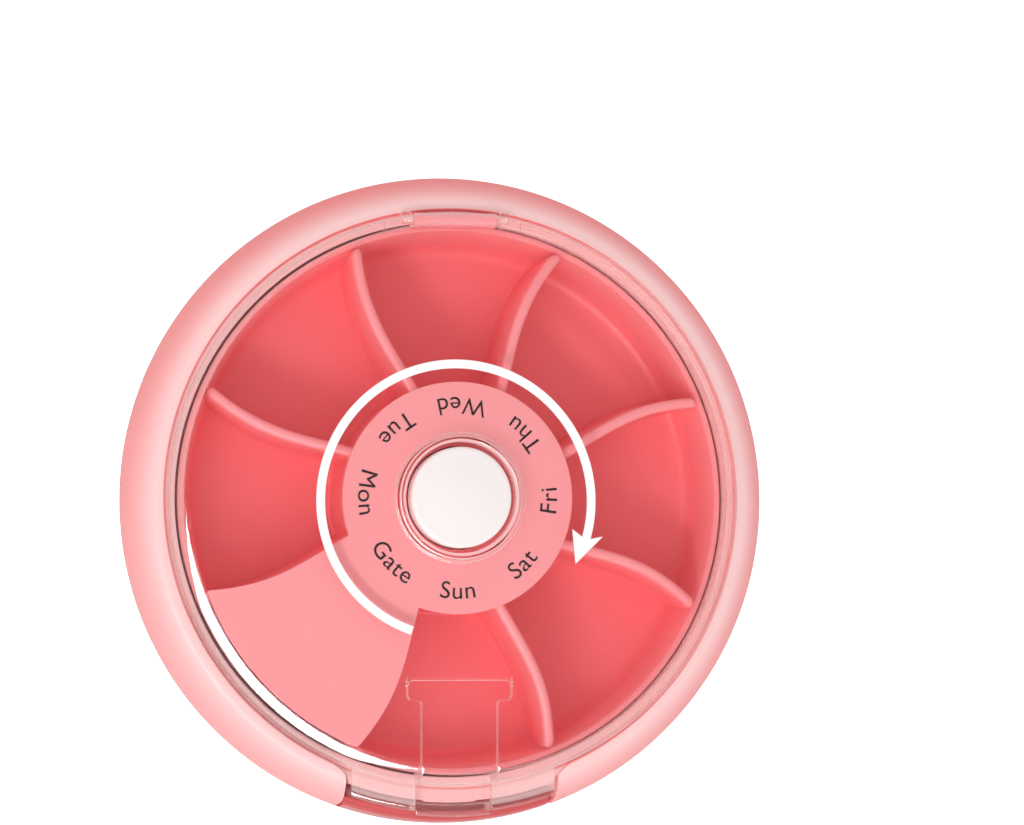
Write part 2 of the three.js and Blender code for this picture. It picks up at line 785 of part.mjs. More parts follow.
const caseGroup = group(
  piece('base_shell', baseShell(), 'coral'),
  piece('rim_ring', rimRing(), 'blush'),
  piece('spindle', spindle(), 'natural'),
  ...spindleScrews,
  piece('tray_retainer', trayRetainer(), 'steel'),
  piece('detent_spring', detentSpring(), 'steel'),
  piece('detent_screw', screw(detentScrewHead, [0, DETENT.y]), 'steel'),
  piece('hinge_pin', crossBar(hinge.pin, -hinge.pinHalf, hinge.pinHalf, hinge.y, hinge.z), 'blush'),
);

const wheelGroup = group(
  piece('tray', tray(), 'coral'),
  piece('day_plate', dayPlate(), 'rose'),
  piece('ratchet_ring', ratchetRing(), 'natural'),
);

const driveGroup = group(
  piece('driver_ring', driverRing(), 'natural'),
  piece('pawl_spring', pawlSpring(), 'steel'),
  piece('button_cap', buttonCap(), 'white'),
  piece('plunger', plunger(), 'natural'),
  piece('return_spring', returnSpring(), 'steel'),
);

const lidGroup = group(
  piece('lid', lid(), 'clear'),
  piece('dispensing_door', dispensingDoor(), 'clear'),
);

export default group(caseGroup, wheelGroup, driveGroup, lidGroup);
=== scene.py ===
# %% [markdown]
# # A travel pill organizer
# A round case, a wheel of compartments, a clear hinged lid with a small clear door, and a push
# button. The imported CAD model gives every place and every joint. This script gives the looks: it
# remakes the pieces that show with fine surfaces, and gives every piece its plastic, ink or steel.

# %% Load the frame
import math

import bmesh
import bpy
from mathutils import Matrix, Vector


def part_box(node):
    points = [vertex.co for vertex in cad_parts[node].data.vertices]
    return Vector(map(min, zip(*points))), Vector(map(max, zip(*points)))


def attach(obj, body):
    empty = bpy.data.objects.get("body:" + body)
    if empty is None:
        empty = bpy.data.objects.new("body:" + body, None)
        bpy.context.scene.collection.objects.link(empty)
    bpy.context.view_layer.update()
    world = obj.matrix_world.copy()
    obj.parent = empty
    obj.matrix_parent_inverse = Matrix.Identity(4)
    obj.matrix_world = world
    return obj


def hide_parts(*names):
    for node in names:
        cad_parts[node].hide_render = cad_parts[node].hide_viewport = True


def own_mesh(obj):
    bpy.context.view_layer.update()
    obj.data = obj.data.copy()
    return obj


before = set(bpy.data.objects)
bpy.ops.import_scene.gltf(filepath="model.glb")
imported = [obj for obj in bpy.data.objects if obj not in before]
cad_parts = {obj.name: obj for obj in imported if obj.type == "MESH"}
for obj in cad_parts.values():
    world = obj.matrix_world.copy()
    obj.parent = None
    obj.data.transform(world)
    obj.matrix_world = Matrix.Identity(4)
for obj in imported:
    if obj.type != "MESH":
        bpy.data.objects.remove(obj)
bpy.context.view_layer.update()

# %% [markdown]
# ## Sizes
# All sizes below are millimetres, and one factor turns them to Blender's metres when a mesh is made.
# Outer sizes are read from the CAD nodes, so the fine pieces fill the same places. The smaller ones,
# such as wall thicknesses and corner radii, repeat the CAD model's. The axle is the Z axis, and
# angles are degrees about it, counted from +X, so that the front of the case is at 270.

# %% Sizes of the main pieces
MM = 0.001


def top(node):
    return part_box(node)[1].z / MM


def bottom(node):
    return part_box(node)[0].z / MM


def reach(node):
    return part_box(node)[1].x / MM


CASE_R = reach("base_shell")
PARTING = 10.2
GAP = 0.3
CROWN_R, CROWN_Z = 40.6, 20.4
LEDGE_R, LEDGE_Z = 39.7, 19.2
LID_R = reach("lid")
LID_TOP, LID_LOW = 26.2, 19.5
WALL = 1.4
FRONT = 270
print("case radius", round(CASE_R, 2), "lid radius", round(LID_R, 2))

# %% [markdown]
# ## The camera
# The view is from almost straight above, tipped a little to the left, through a long lens. Building
# its axes by hand keeps the front of the case at the bottom of the frame, which a track-to rotation
# can't promise when a camera looks straight down.

# %% Camera
CAMERA_DISTANCE = 650
CAMERA_LENS = 163
CAMERA_TIP = math.radians(10.2)
CAMERA_NOD = math.radians(2.4)
AIM = Vector((10.0, 12.33, 10.5))


def make_camera():
    data = bpy.data.cameras.new("camera")
    data.lens = CAMERA_LENS
    data.sensor_width = 36
    data.clip_start = 0.05
    data.clip_end = 10
    camera = bpy.data.objects.new("camera", data)
    bpy.context.scene.collection.objects.link(camera)
    back = Vector((-math.sin(CAMERA_TIP), -math.sin(CAMERA_NOD), math.cos(CAMERA_TIP))).normalized()
    right = Vector((0, 1, 0)).cross(back).normalized()
    up = back.cross(right)
    place = (AIM + back * CAMERA_DISTANCE) * MM
    camera.matrix_world = Matrix.Translation(place) @ Matrix((right, up, back)).transposed().to_4x4()
    bpy.context.scene.camera = camera
    return camera


camera = make_camera()
print("camera at", tuple(round(v, 3) for v in camera.location))

# %% [markdown]
# ## Outlines
# Nearly every piece here is turned about the wheel's axle, as a lathe would turn it, or is a flat
# plate. Both start as an outline of corners, each with its own radius, because moulded plastic has no
# sharp corners and a highlight only shows on a rounded one. A curve object with a bevel could round
# them too, but a list of corners keeps every radius beside its corner.

# %% Outline helpers
def rounded(outline, steps=4):
    """Turns each corner (x, y, radius) into a smooth curve. A radius of 0 keeps the corner."""
    points = []
    for i, (x, y, *radius) in enumerate(outline):
        here = Vector((x, y))
        if not radius or radius[0] == 0:
            points.append(here)
            continue
        before = Vector(outline[i - 1][:2]) - here
        after = Vector(outline[(i + 1) % len(outline)][:2]) - here
        setback = radius[0] / math.tan(before.angle(after) / 2)
        setback = min(setback, before.length * 0.48, after.length * 0.48)
        start = here + before.normalized() * setback
        end = here + after.normalized() * setback
        count = steps * (3 if radius[0] > 1 else 1)
        for step in range(count + 1):
            t = step / count
            points.append(start * (1 - t) ** 2 + here * 2 * t * (1 - t) + end * t * t)
    return points


def polar(radius, degrees):
    return radius * math.cos(math.radians(degrees)), radius * math.sin(math.radians(degrees))


def arc(centre, size, start, stop, steps):
    """Points along an elliptical arc, in degrees, both ends included."""
    points = []
    for step in range(steps + 1):
        angle = math.radians(start + (stop - start) * step / steps)
        points.append((centre[0] + size[0] * math.cos(angle), centre[1] + size[1] * math.sin(angle)))
    return points


print("a rounded square has", len(rounded([(0, 0, 1), (9, 0, 1), (9, 9, 1), (0, 9, 1)])), "points")

# %% [markdown]
# ## Turned pieces
# `turned` spins an outline about the axle. A full turn closes on itself, and part of a turn gets a
# flat cap at each end. The Spin tool does the same, but building the rings here leaves no doubled
# seam and lets an outline that touches the axle share one point there.

# %% Turning an outline
def new_object(name, mesh):
    piece = bpy.data.objects.new(name, mesh)
    bpy.context.scene.collection.objects.link(piece)
    return piece


def from_bmesh(name, bm, outwards=True):
    if outwards:
        bmesh.ops.recalc_face_normals(bm, faces=bm.faces)
    mesh = bpy.data.meshes.new(name)
    bm.to_mesh(mesh)
    bm.free()
    return new_object(name, mesh)


def turned(name, outline, start=0, stop=360, steps=180):
    bm = bmesh.new()
    full = stop - start == 360
    count = steps if full else max(2, round(steps * (stop - start) / 360))
    poles = {}
    rings = []
    for step in range(count if full else count + 1):
        angle = start + (stop - start) * step / count
        ring = []
        for i, (r, z) in enumerate(outline):
            if r < 1e-6 and i in poles:
                ring.append(poles[i])
                continue
            x, y = polar(r, angle)
            vertex = bm.verts.new((x * MM, y * MM, z * MM))
            if r < 1e-6:
                poles[i] = vertex
            ring.append(vertex)
        rings.append(ring)
    pairs = list(zip(rings, rings[1:] + rings[:1] if full else rings[1:]))
    for near, far in pairs:
        for i in range(len(outline)):
            j = (i + 1) % len(outline)
            corners = list(dict.fromkeys((near[i], near[j], far[j], far[i])))
            if len(corners) > 2:
                bm.faces.new(corners)
    if not full:
        bm.faces.new(rings[0])
        bm.faces.new(list(reversed(rings[-1])))
    return from_bmesh(name, bm)


print("outlines are turned in 180 steps unless a piece asks for another number")

# %% [markdown]
# ## Plates, blocks and posts
# `plate` raises an outline into a slab. A block and a round post are plates with simple outlines.
# They serve as cutters and as plain bosses, and what shows of them gets its edges rounded later.

# %% Raising an outline
def plate(name, outline, low, high):
    bm = bmesh.new()
    base = [bm.verts.new((x * MM, y * MM, low * MM)) for x, y in outline]
    roof = [bm.verts.new((x * MM, y * MM, high * MM)) for x, y in outline]
    bm.faces.new(list(reversed(base)))
    bm.faces.new(roof)
    for i in range(len(outline)):
        j = (i + 1) % len(outline)
        bm.faces.new((base[i], base[j], roof[j], roof[i]))
    return from_bmesh(name, bm)


def box(name, low, high):
    (x0, y0, z0), (x1, y1, z1) = low, high
    return plate(name, [(x0, y0), (x1, y0), (x1, y1), (x0, y1)], z0, z1)


def post(name, x, y, radius, low, high):
    circle = arc((x, y), (radius, radius), 0, 352.5, 47)
    return plate(name, circle, low, high)


def front_slice(half_width):
    """A block over the front half of the object, between two upright planes."""
    return box("slice", (-half_width, -60, -5), (half_width, 0, 60))


print("plates stand between two heights, in millimetres")

# %% [markdown]
# ## Joining and cutting
# A moulding is one solid, so its parts are joined and cut by Boolean modifiers with the exact solver.
# Each result is read back from the evaluated object, so that no modifier stays on the piece. A bevel
# then rounds the edges that the cuts left sharp, as a mould's edges would be.

# %% Booleans and bevels
def baked(piece):
    """The piece with its modifiers worked into its mesh."""
    depsgraph = bpy.context.evaluated_depsgraph_get()
    mesh = bpy.data.meshes.new_from_object(piece.evaluated_get(depsgraph))
    piece.modifiers.clear()
    piece.data = mesh
    mesh.name = piece.name
    return piece


def combine(operation, piece, *others):
    for other in others:
        modifier = piece.modifiers.new(operation.lower(), "BOOLEAN")
        modifier.operation = operation
        modifier.solver = "EXACT"
        modifier.object = other
    baked(piece)
    for other in others:
        bpy.data.objects.remove(other)
    return piece


def join(piece, *others):
    return combine("UNION", piece, *others)


def cut(piece, *others):
    return combine("DIFFERENCE", piece, *others)


def within(piece, other):
    return combine("INTERSECT", piece, other)


def softened(piece, width, segments=2, angle=40):
    """Rounds the edges that booleans left sharp."""
    modifier = piece.modifiers.new("bevel", "BEVEL")
    modifier.width = width * MM
    modifier.segments = segments
    modifier.limit_method = "ANGLE"
    modifier.angle_limit = math.radians(angle)
    modifier.use_clamp_overlap = True
    return baked(piece)


print("cutters are removed once they have cut")

# %% [markdown]
# ## Shading
# Smooth shading bends the light across a whole face, which makes a flat plate beside a small rounded
# edge look dented. Weighted normals let the wide faces win, so they stay flat up to their edges.
# Plain smoothing is enough for pieces that are curved all over.

# %% Smooth and even shading
def smooth(piece, angle=35):
    for polygon in piece.data.polygons:
        polygon.use_smooth = True
    piece.data.set_sharp_from_angle(angle=math.radians(angle))
    return piece


def even(piece, angle=35):
    """Smooth shading that keeps wide faces flat up to their rounded edges."""
    smooth(piece, angle)
    modifier = piece.modifiers.new("normals", "WEIGHTED_NORMAL")
    modifier.keep_sharp = True
    return baked(piece)


print("edges over 35 degrees stay sharp unless a piece says otherwise")

# %% [markdown]
# ## A kit for materials
# One function adds any node with its settings, values and links. Another turns the sRGB colours that
# people read into the linear ones that Blender computes with.

# %% Node helper and colours
def add(tree, kind, inputs=None, **settings):
    """Adds a node with its settings, its input values and its links."""
    node = tree.nodes.new(kind)
    for name, value in settings.items():
        setattr(node, name, value)
    for name, value in (inputs or {}).items():
        if isinstance(value, bpy.types.NodeSocket):
            tree.links.new(value, node.inputs[name])
        else:
            node.inputs[name].default_value = value
    return node


def linear(hex_colour, alpha=1.0):
    channels = [int(hex_colour[i : i + 2], 16) / 255 for i in (1, 3, 5)]
    return [c / 12.92 if c <= 0.04045 else ((c + 0.055) / 1.055) ** 2.4 for c in channels] + [alpha]


def new_material(name):
    material = bpy.data.materials.new(name)
    material.use_nodes = True
    material.node_tree.nodes.clear()
    return material, material.node_tree


print("mid grey is", round(linear("#808080")[0], 3), "in linear light")

# %% [markdown]
# ## Moulded plastic
# The case is moulded from ABS: an opaque plastic that takes a gloss from a polished mould and a satin
# from a blasted one. The surface has two things to show at this size: a fine mould grain, and a very
# faint cloudiness in its colour. Both come from noise on Object coordinates, in real millimetres. The
# real grain is finer than these sizes, and is drawn this coarse so that it shows at all. A little
# light soaks in, so the shadows between the dividers stay warm. Where a mesh asks for it by an
# attribute, the plastic takes a lighter colour: painted light on the tops of the dividers and on the
# upper wall of the bowl. On the rim ring, rings of painted shade darken the outer flank and a thin
# line at the inner edge, more towards the upper right, away from the light.

# %% Moulded plastic
CLOUD = 18
UPPER_RIGHT = (0.64, 0.77, 0)


def paint_shade_band(tree, coords, colour, band):
    """Paints shade into a colour in a ring about the axle, stronger towards the upper right, away from
    the light. A band is its shade colour and four distances: where it begins, where it is full, where it
    fades and where it is gone."""
    deep, begins, full, fades, gone = band
    level = add(tree, "ShaderNodeVectorMath", {0: coords, 1: (1, 1, 0)}, operation="MULTIPLY")
    out = add(tree, "ShaderNodeVectorMath", {0: level.outputs[0]}, operation="LENGTH").outputs["Value"]
    rise = add(tree, "ShaderNodeMapRange", {"Value": out, "From Min": begins * MM, "From Max": full * MM})
    fall = add(tree, "ShaderNodeMapRange", {"Value": out, "From Min": gone * MM, "From Max": fades * MM})
    both = {0: rise.outputs["Result"], 1: fall.outputs["Result"]}
    inside = add(tree, "ShaderNodeMath", both, operation="MULTIPLY")
    across = add(tree, "ShaderNodeVectorMath", {0: coords, 1: UPPER_RIGHT}, operation="DOT_PRODUCT")
    width = {"Value": across.outputs["Value"], "From Min": -CASE_R * MM, "From Max": CASE_R * MM}
    lean = add(tree, "ShaderNodeMapRange", {**width, "To Min": 0.6, "To Max": 1.25})
    strength = {0: inside.outputs[0], 1: lean.outputs["Result"]}
    share = add(tree, "ShaderNodeMath", strength, operation="MULTIPLY")
    deeper = add(tree, "ShaderNodeMix", {"Factor": share.outputs[0]}, data_type="RGBA")
    tree.links.new(colour, deeper.inputs[6])
    deeper.inputs[7].default_value = linear(deep)
    return deeper.outputs[2]


def paint_top_light(tree, colour, edge):
    """Mixes in painted light: a lighter colour where the mesh says that a part's top catches the light."""
    thin = add(tree, "ShaderNodeAttribute", attribute_name="thin_edge")
    lit = add(tree, "ShaderNodeMix", {"Factor": thin.outputs["Fac"]}, data_type="RGBA")
    tree.links.new(colour, lit.inputs[6])
    lit.inputs[7].default_value = linear(edge)
    return lit.outputs[2]


def moulded_plastic(name, colour, cloud, roughness, grain, glow, ior=1.53, edge=None, shade_bands=()):
    """Injection-moulded plastic. cloud is its second colour, grain the width and depth of its mould
    grain in millimetres, and glow how far light soaks in."""
    material, tree = new_material(name)
    coords = add(tree, "ShaderNodeTexCoord").outputs["Object"]
    drift = add(tree, "ShaderNodeTexNoise", {"Vector": coords, "Scale": 1 / (CLOUD * MM), "Detail": 2})
    shade = add(tree, "ShaderNodeMix", {"Factor": drift.outputs["Fac"]}, data_type="RGBA")
    shade.inputs[6].default_value = linear(colour)
    shade.inputs[7].default_value = linear(cloud)
    # The edge colour is painted light, where a part's top catches the light.
    final = paint_top_light(tree, shade.outputs[2], edge) if edge else shade.outputs[2]
    # Each ring is painted shade about the axle, stronger away from the light.
    for band in shade_bands:
        final = paint_shade_band(tree, coords, final, band)
    grain_width, grain_depth = grain
    grains = add(tree, "ShaderNodeTexNoise", {"Vector": coords, "Scale": 1 / (grain_width * MM), "Detail": 3})
    relief = {"Height": grains.outputs["Fac"], "Distance": grain_depth * MM, "Strength": 1.0}
    bump = add(tree, "ShaderNodeBump", relief)
    range_of_polish = {"To Min": roughness * 0.85, "To Max": roughness * 1.15}
    polish = add(tree, "ShaderNodeMapRange", {"Value": drift.outputs["Fac"], **range_of_polish})
    surface = {"Base Color": final, "Roughness": polish.outputs["Result"], "IOR": ior}
    shader = add(tree, "ShaderNodeBsdfPrincipled", {**surface, "Normal": bump.outputs["Normal"]})
    shader.inputs["Subsurface Weight"].default_value = glow
    shader.inputs["Subsurface Radius"].default_value = (1.0, 0.35, 0.3)
    shader.inputs["Subsurface Scale"].default_value = 1.5 * MM
    add(tree, "ShaderNodeOutputMaterial", {"Surface": shader.outputs["BSDF"]})
    return material


# Painted shade on the rim ring: its outer flank darkens towards the edge and the upper right, and a thin dark
# line at its inner edge stands for the shade beside the lid.
RIM_PAINTED_SHADE = (("#ff6c70", 40.9, 44.9, 60, 61), ("#e97f80", 39.6, 39.75, 39.95, 40.1))
# The coral's edge colour is painted light on the tops of the dividers and the upper wall of the bowl.
CORAL = moulded_plastic("satin_coral_abs", "#fa858a", "#f57d82", 0.38, (0.35, 0.004), 0.15, edge="#ffa3a7")
CASE_CORAL = moulded_plastic("gloss_coral_abs", "#d26163", "#cb5b5d", 0.25, (0.6, 0.003), 0.1)
BLUSH = moulded_plastic("gloss_blush_abs", "#ffd8d7", "#fed2d1", 0.3, (0.8, 0.003), 0.4, shade_bands=RIM_PAINTED_SHADE)
ROSE = moulded_plastic("satin_rose_abs", "#ffacb0", "#fea6aa", 0.42, (0.3, 0.004), 0.15)
WHITE = moulded_plastic("gloss_white_abs", "#faf1f0", "#f6ebea", 0.25, (0.8, 0.002), 0.1)
ACETAL = moulded_plastic("natural_acetal", "#efece4", "#e8e4da", 0.45, (0.3, 0.005), 0.2, ior=1.48)
print("plastics made")

# %% [markdown]
# ## Clear plastic
# The lid and its door are clear SAN, a stiff glassy plastic. Real glass in the renderer would be the
# plain way, but a lid of many thin curved walls then turns grey and noisy. So most of the light goes
# straight through, a tenth is bent as glass bends it, and a reflection lies on the faces that look
# outwards, capped where they turn away. Three attributes on the mesh say where the plastic differs:
# `bend` where more light is bent, `frost` where a cut or textured face is matt, and `wall` where an
# upright wall is looked at through its depth and shows a trace of colour. Shadow and bounced rays
# pass straight through, as a thin clear cover lights its inside almost as if it weren't there. The
# IOR is a little under this plastic's own 1.57, which keeps the shoulder calm.

# %% Clear lid plastic
CLEAR_IOR = 1.5
CLEAR_ROUGHNESS = 0.02
STRONGEST_SHINE = 0.25


def clear_plastic(name, tint, wall_tint, matt_tint, straight_through):
    material, tree = new_material(name)
    coords = add(tree, "ShaderNodeTexCoord").outputs["Object"]
    ripple = add(tree, "ShaderNodeTexNoise", {"Vector": coords, "Scale": 1 / (14 * MM), "Detail": 1})
    waves = {"Height": ripple.outputs["Fac"], "Distance": 0.006 * MM, "Strength": 0.5}
    normal = add(tree, "ShaderNodeBump", waves).outputs["Normal"]
    body = {"Base Color": linear(tint), "Roughness": CLEAR_ROUGHNESS, "IOR": CLEAR_IOR, "Normal": normal}
    glass = add(tree, "ShaderNodeBsdfPrincipled", {**body, "Transmission Weight": 1.0})
    gloss = add(tree, "ShaderNodeBsdfAnisotropic", {"Roughness": CLEAR_ROUGHNESS, "Normal": normal})
    edge = add(tree, "ShaderNodeFresnel", {"IOR": CLEAR_IOR, "Normal": normal}).outputs[0]
    bend = add(tree, "ShaderNodeAttribute", attribute_name="bend").outputs["Fac"]
    frost = add(tree, "ShaderNodeAttribute", attribute_name="frost").outputs["Fac"]
    wall = add(tree, "ShaderNodeAttribute", attribute_name="wall").outputs["Fac"]
    ray = add(tree, "ShaderNodeLightPath").outputs
    unseen = {0: ray["Is Shadow Ray"], 1: ray["Is Diffuse Ray"]}
    lighting = add(tree, "ShaderNodeMath", unseen, operation="MAXIMUM").outputs[0]
    unbent = add(tree, "ShaderNodeMath", {0: straight_through, 1: bend}, operation="SUBTRACT").outputs[0]
    straight = add(tree, "ShaderNodeMath", {0: lighting, 1: unbent}, operation="MAXIMUM").outputs[0]
    inner_side = add(tree, "ShaderNodeNewGeometry").outputs["Backfacing"]
    dull = add(tree, "ShaderNodeMath", {0: lighting, 1: inner_side}, operation="MAXIMUM").outputs[0]
    polished = add(tree, "ShaderNodeMath", {0: 1.0, 1: dull}, operation="SUBTRACT").outputs[0]
    capped = add(tree, "ShaderNodeMath", {0: edge, 1: STRONGEST_SHINE}, operation="MINIMUM").outputs[0]
    shine = add(tree, "ShaderNodeMath", {0: capped, 1: polished}, operation="MULTIPLY").outputs[0]
    looked_at = add(tree, "ShaderNodeMath", {0: 1.0, 1: lighting}, operation="SUBTRACT").outputs[0]
    face_on = add(tree, "ShaderNodeMath", {0: looked_at, 1: edge}, operation="SUBTRACT").outputs[0]
    depth = add(tree, "ShaderNodeMath", {0: wall, 1: face_on}, operation="MULTIPLY", use_clamp=True)
    shaded = add(tree, "ShaderNodeMix", {"Factor": depth.outputs[0]}, data_type="RGBA")
    shaded.inputs[6].default_value = linear(tint)
    shaded.inputs[7].default_value = linear(wall_tint)
    air = add(tree, "ShaderNodeBsdfTransparent", {"Color": shaded.outputs[2]})
    film = add(tree, "ShaderNodeMixShader", {0: shine, 1: air.outputs[0], 2: gloss.outputs[0]})
    clear = add(tree, "ShaderNodeMixShader", {0: straight, 1: glass.outputs[0], 2: film.outputs[0]})
    matt = add(tree, "ShaderNodeBsdfDiffuse", {"Color": linear(matt_tint)})
    whole = add(tree, "ShaderNodeMixShader", {0: frost, 1: clear.outputs[0], 2: matt.outputs[0]})
    add(tree, "ShaderNodeOutputMaterial", {"Surface": whole.outputs[0]})
    return material


CLEAR = clear_plastic("clear_san", "#fffafa", "#efdfdf", "#ffe9e7", 0.9)
print("clear plastic made")

# %% [markdown]
# ## Ink
# The day names and the arrow are pad prints: a thin film with a flat colour, a little less shiny than
# the plastic under it. The film is faintly mottled where the pad laid it down, so its colour mixes
# two near shades by a fine noise.

# %% Printed ink
def printed_ink(name, colour, wear, roughness):
    """A thin printed film: flat colour, faintly mottled where the pad laid it down."""
    material, tree = new_material(name)
    coords = add(tree, "ShaderNodeTexCoord").outputs["Object"]
    mottle = add(tree, "ShaderNodeTexNoise", {"Vector": coords, "Scale": 1 / (0.4 * MM), "Detail": 2})
    shade = add(tree, "ShaderNodeMix", {"Factor": mottle.outputs["Fac"]}, data_type="RGBA")
    shade.inputs[6].default_value = linear(colour)
    shade.inputs[7].default_value = linear(wear)
    shader = add(tree, "ShaderNodeBsdfPrincipled", {"Base Color": shade.outputs[2], "Roughness": roughness})
    add(tree, "ShaderNodeOutputMaterial", {"Surface": shader.outputs[0]})
    return material


BLACK_INK = printed_ink("black_pad_print", "#070406", "#120c0e", 0.6)
WHITE_INK = printed_ink("white_pad_print", "#ffffff", "#fbfafa", 0.4)
print("inks made")

# %% [markdown]
# ## Steel
# The springs are drawn wire and strip, and the screws are turned and nickel plated. Both keep fine
# lines from how they were made, so a noise is stretched along Z to vary their polish and relief. Real
# drawing lines are hundredths of a millimetre apart, and are drawn coarser here so that they show.

# %% Drawn and plated steel
def drawn_steel(name, colour, roughness, line_mm):
    material, tree = new_material(name)
    coords = add(tree, "ShaderNodeTexCoord").outputs["Object"]
    stretched = add(tree, "ShaderNodeMapping", {"Vector": coords, "Scale": (1, 1, 0.1)}).outputs[0]
    lines = add(tree, "ShaderNodeTexNoise", {"Vector": stretched, "Scale": 1 / (line_mm * MM), "Detail": 4})
    range_of_polish = {"To Min": roughness * 0.7, "To Max": roughness * 1.3}
    polish = add(tree, "ShaderNodeMapRange", {"Value": lines.outputs["Fac"], **range_of_polish})
    bump = add(tree, "ShaderNodeBump", {"Height": lines.outputs["Fac"], "Distance": 0.003 * MM})
    surface = {"Base Color": linear(colour), "Metallic": 1.0, "Roughness": polish.outputs["Result"]}
    shader = add(tree, "ShaderNodeBsdfPrincipled", {**surface, "Normal": bump.outputs["Normal"]})
    add(tree, "ShaderNodeOutputMaterial", {"Surface": shader.outputs[0]})
    return material


SPRING_STEEL = drawn_steel("drawn_spring_steel", "#b8babd", 0.28, 0.2)
PLATED_STEEL = drawn_steel("nickel_plated_steel", "#cfccc6", 0.22, 0.3)
print("steels made")

# %% [markdown]
# ## Finishing a piece
# Every piece ends the same way: it gets its material, rides the body that moves it, and hides the CAD
# nodes that it stands for. One function does all of that and says so.

# %% Dressing a piece
def dress(piece, material, body, slot, *nodes):
    """Gives a finished piece its material and its body, and hides the CAD nodes it stands for; slot is not
    used.
    """
    piece.data.materials.clear()
    piece.data.materials.append(material)
    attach(piece, body)
    if nodes:
        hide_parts(*nodes)
    print(piece.name, len(piece.data.polygons), "faces")
    return piece


# %% [markdown]
# ## The base shell
# The lower half of the case is a shallow cup, flat underneath so that it stands, with an elliptical
# side that meets the rim ring at the widest point. It is one closed outline turned about the axle,
# since a sphere or a scaled cylinder would miss the flat foot and the lip. Its front carries a low
# wall that shows through the rim ring's gap, and bosses inside take the spindle's screws.

# %% Base shell
NOTCH_HALF = 14.8


def base_shell():
    side = [(x, z, 0) for x, z in arc((31, PARTING), (CASE_R - 31, PARTING), 270, 360, 20)]
    inside = [(x, z, 0) for x, z in arc((31, PARTING), (11.2, PARTING - 2), 345, 270, 14)]
    lip = [(CASE_R, PARTING, 0.15), (42.7, PARTING, 0.1), (42.7, 12, 0.2), (41.7, 12, 0.2)]
    shell = turned("case_bottom", rounded([(0, 0, 0), (29.5, 0, 0)] + side[:-1] + lip + inside + [(0, 2, 0)]))
    gap_outline = [(40.7, PARTING), (43.5, PARTING), (43.5, 13), (40.7, 13)]
    lip_gap = turned("lip_gap", gap_outline, FRONT - 45, FRONT + 45)
    within(lip_gap, front_slice(NOTCH_HALF + 1.8))
    wall_outline = rounded(
        [
            (39.6, 8.8, 0),
            (CASE_R - 0.4, 8.8, 0),
            (CASE_R - 0.03, PARTING - 0.4, 0),
            (CASE_R - 0.1, 12, 0),
            (CASE_R - 0.5, 14.5, 0.6),
            (43.2, 14.5, 0.5),
            (43.2, PARTING, 0.6),
            (39.6, PARTING, 0),
        ]
    )
    wall = within(turned("front_wall", wall_outline, FRONT - 45, FRONT + 45), front_slice(NOTCH_HALF - 0.4))
    posts = [post(f"boss_{angle}", *polar(10.2, angle), 2.2, 1.8, 4) for angle in (90, 210, 330)]
    posts.append(post("detent_post", 0, 26, 2.4, 1.8, 5.6))
    cut(shell, lip_gap)
    join(shell, wall, *posts)
    return even(softened(shell, 0.12))


dress(base_shell(), CASE_CORAL, "case", "coral_plastic", "base_shell")

# %% [markdown]
# ## Round bars
# The lid's hinge and the door's pins are short bars along X. A cylinder would have hard rims, so a
# bar is made from four rings, the outer two a little smaller.

# %% Round bars
def rod(name, radius, from_x, to_x, y, z, steps=32):
    bm = bmesh.new()
    rim = min(0.12, radius * 0.3)
    stations = [(from_x, radius - rim), (from_x + rim, radius), (to_x - rim, radius), (to_x, radius - rim)]
    rings = []
    for x, r in stations:
        circle = arc((y, z), (r, r), 0, 360, steps)[:-1]
        rings.append([bm.verts.new((x * MM, cy * MM, cz * MM)) for cy, cz in circle])
    for near, far in zip(rings, rings[1:]):
        for i in range(steps):
            j = (i + 1) % steps
            bm.faces.new((near[i], near[j], far[j], far[i]))
    bm.faces.new(rings[0])
    bm.faces.new(list(reversed(rings[-1])))
    return from_bmesh(name, bm)


def rod_pair(name, radius, inner_x, outer_x, y, z, steps=32):
    """The same bar on the left and on the right."""
    left_bar = rod(f"{name}_left", radius, -outer_x, -inner_x, y, z, steps)
    right_bar = rod(f"{name}_right", radius, inner_x, outer_x, y, z, steps)
    return left_bar, right_bar


HINGE_Y, HINGE_Z = 38.3, 21.8
PIN_HOLE = 0.62
print("the lid's hinge is", HINGE_Y, "behind the axle and", HINGE_Z, "up")

# %% [markdown]
# ## The rim ring
# The pale ring snaps onto the cup and makes the case's upper half. Seen from above it is the soft
# band all round: an elliptical outside, a crown, and a ledge inside it that the lid closes onto. The
# gap at the front lets the lid's tab down, and a lug at the rear holds the hinge pin. The ring is
# turned and the gap is cut from it, so its rounded crown runs right up to the gap's flared sides.

# %% Rim ring
def ring_outline(inside):
    outside = arc((CROWN_R, PARTING + GAP), (CASE_R - CROWN_R, CROWN_Z - PARTING - GAP), 0, 90, 22)
    corners = [(CASE_R, PARTING + GAP, 0.15)] + [(x, z, 0) for x, z in outside[1:]]
    corners += [(LEDGE_R + 0.1, CROWN_Z - 0.05, 0.35), (LEDGE_R, LEDGE_Z, 0.25), (38.3, LEDGE_Z, 0.25)]
    return rounded(corners + inside)


def notch(name, side, between, low, high):
    """A cutter through the front of the rim: one side, its mirror image, and what runs between them."""
    left_side = [(-x, y, radius) for x, y, radius in side]
    return plate(name, rounded(left_side + between + list(reversed(side))), low, high)


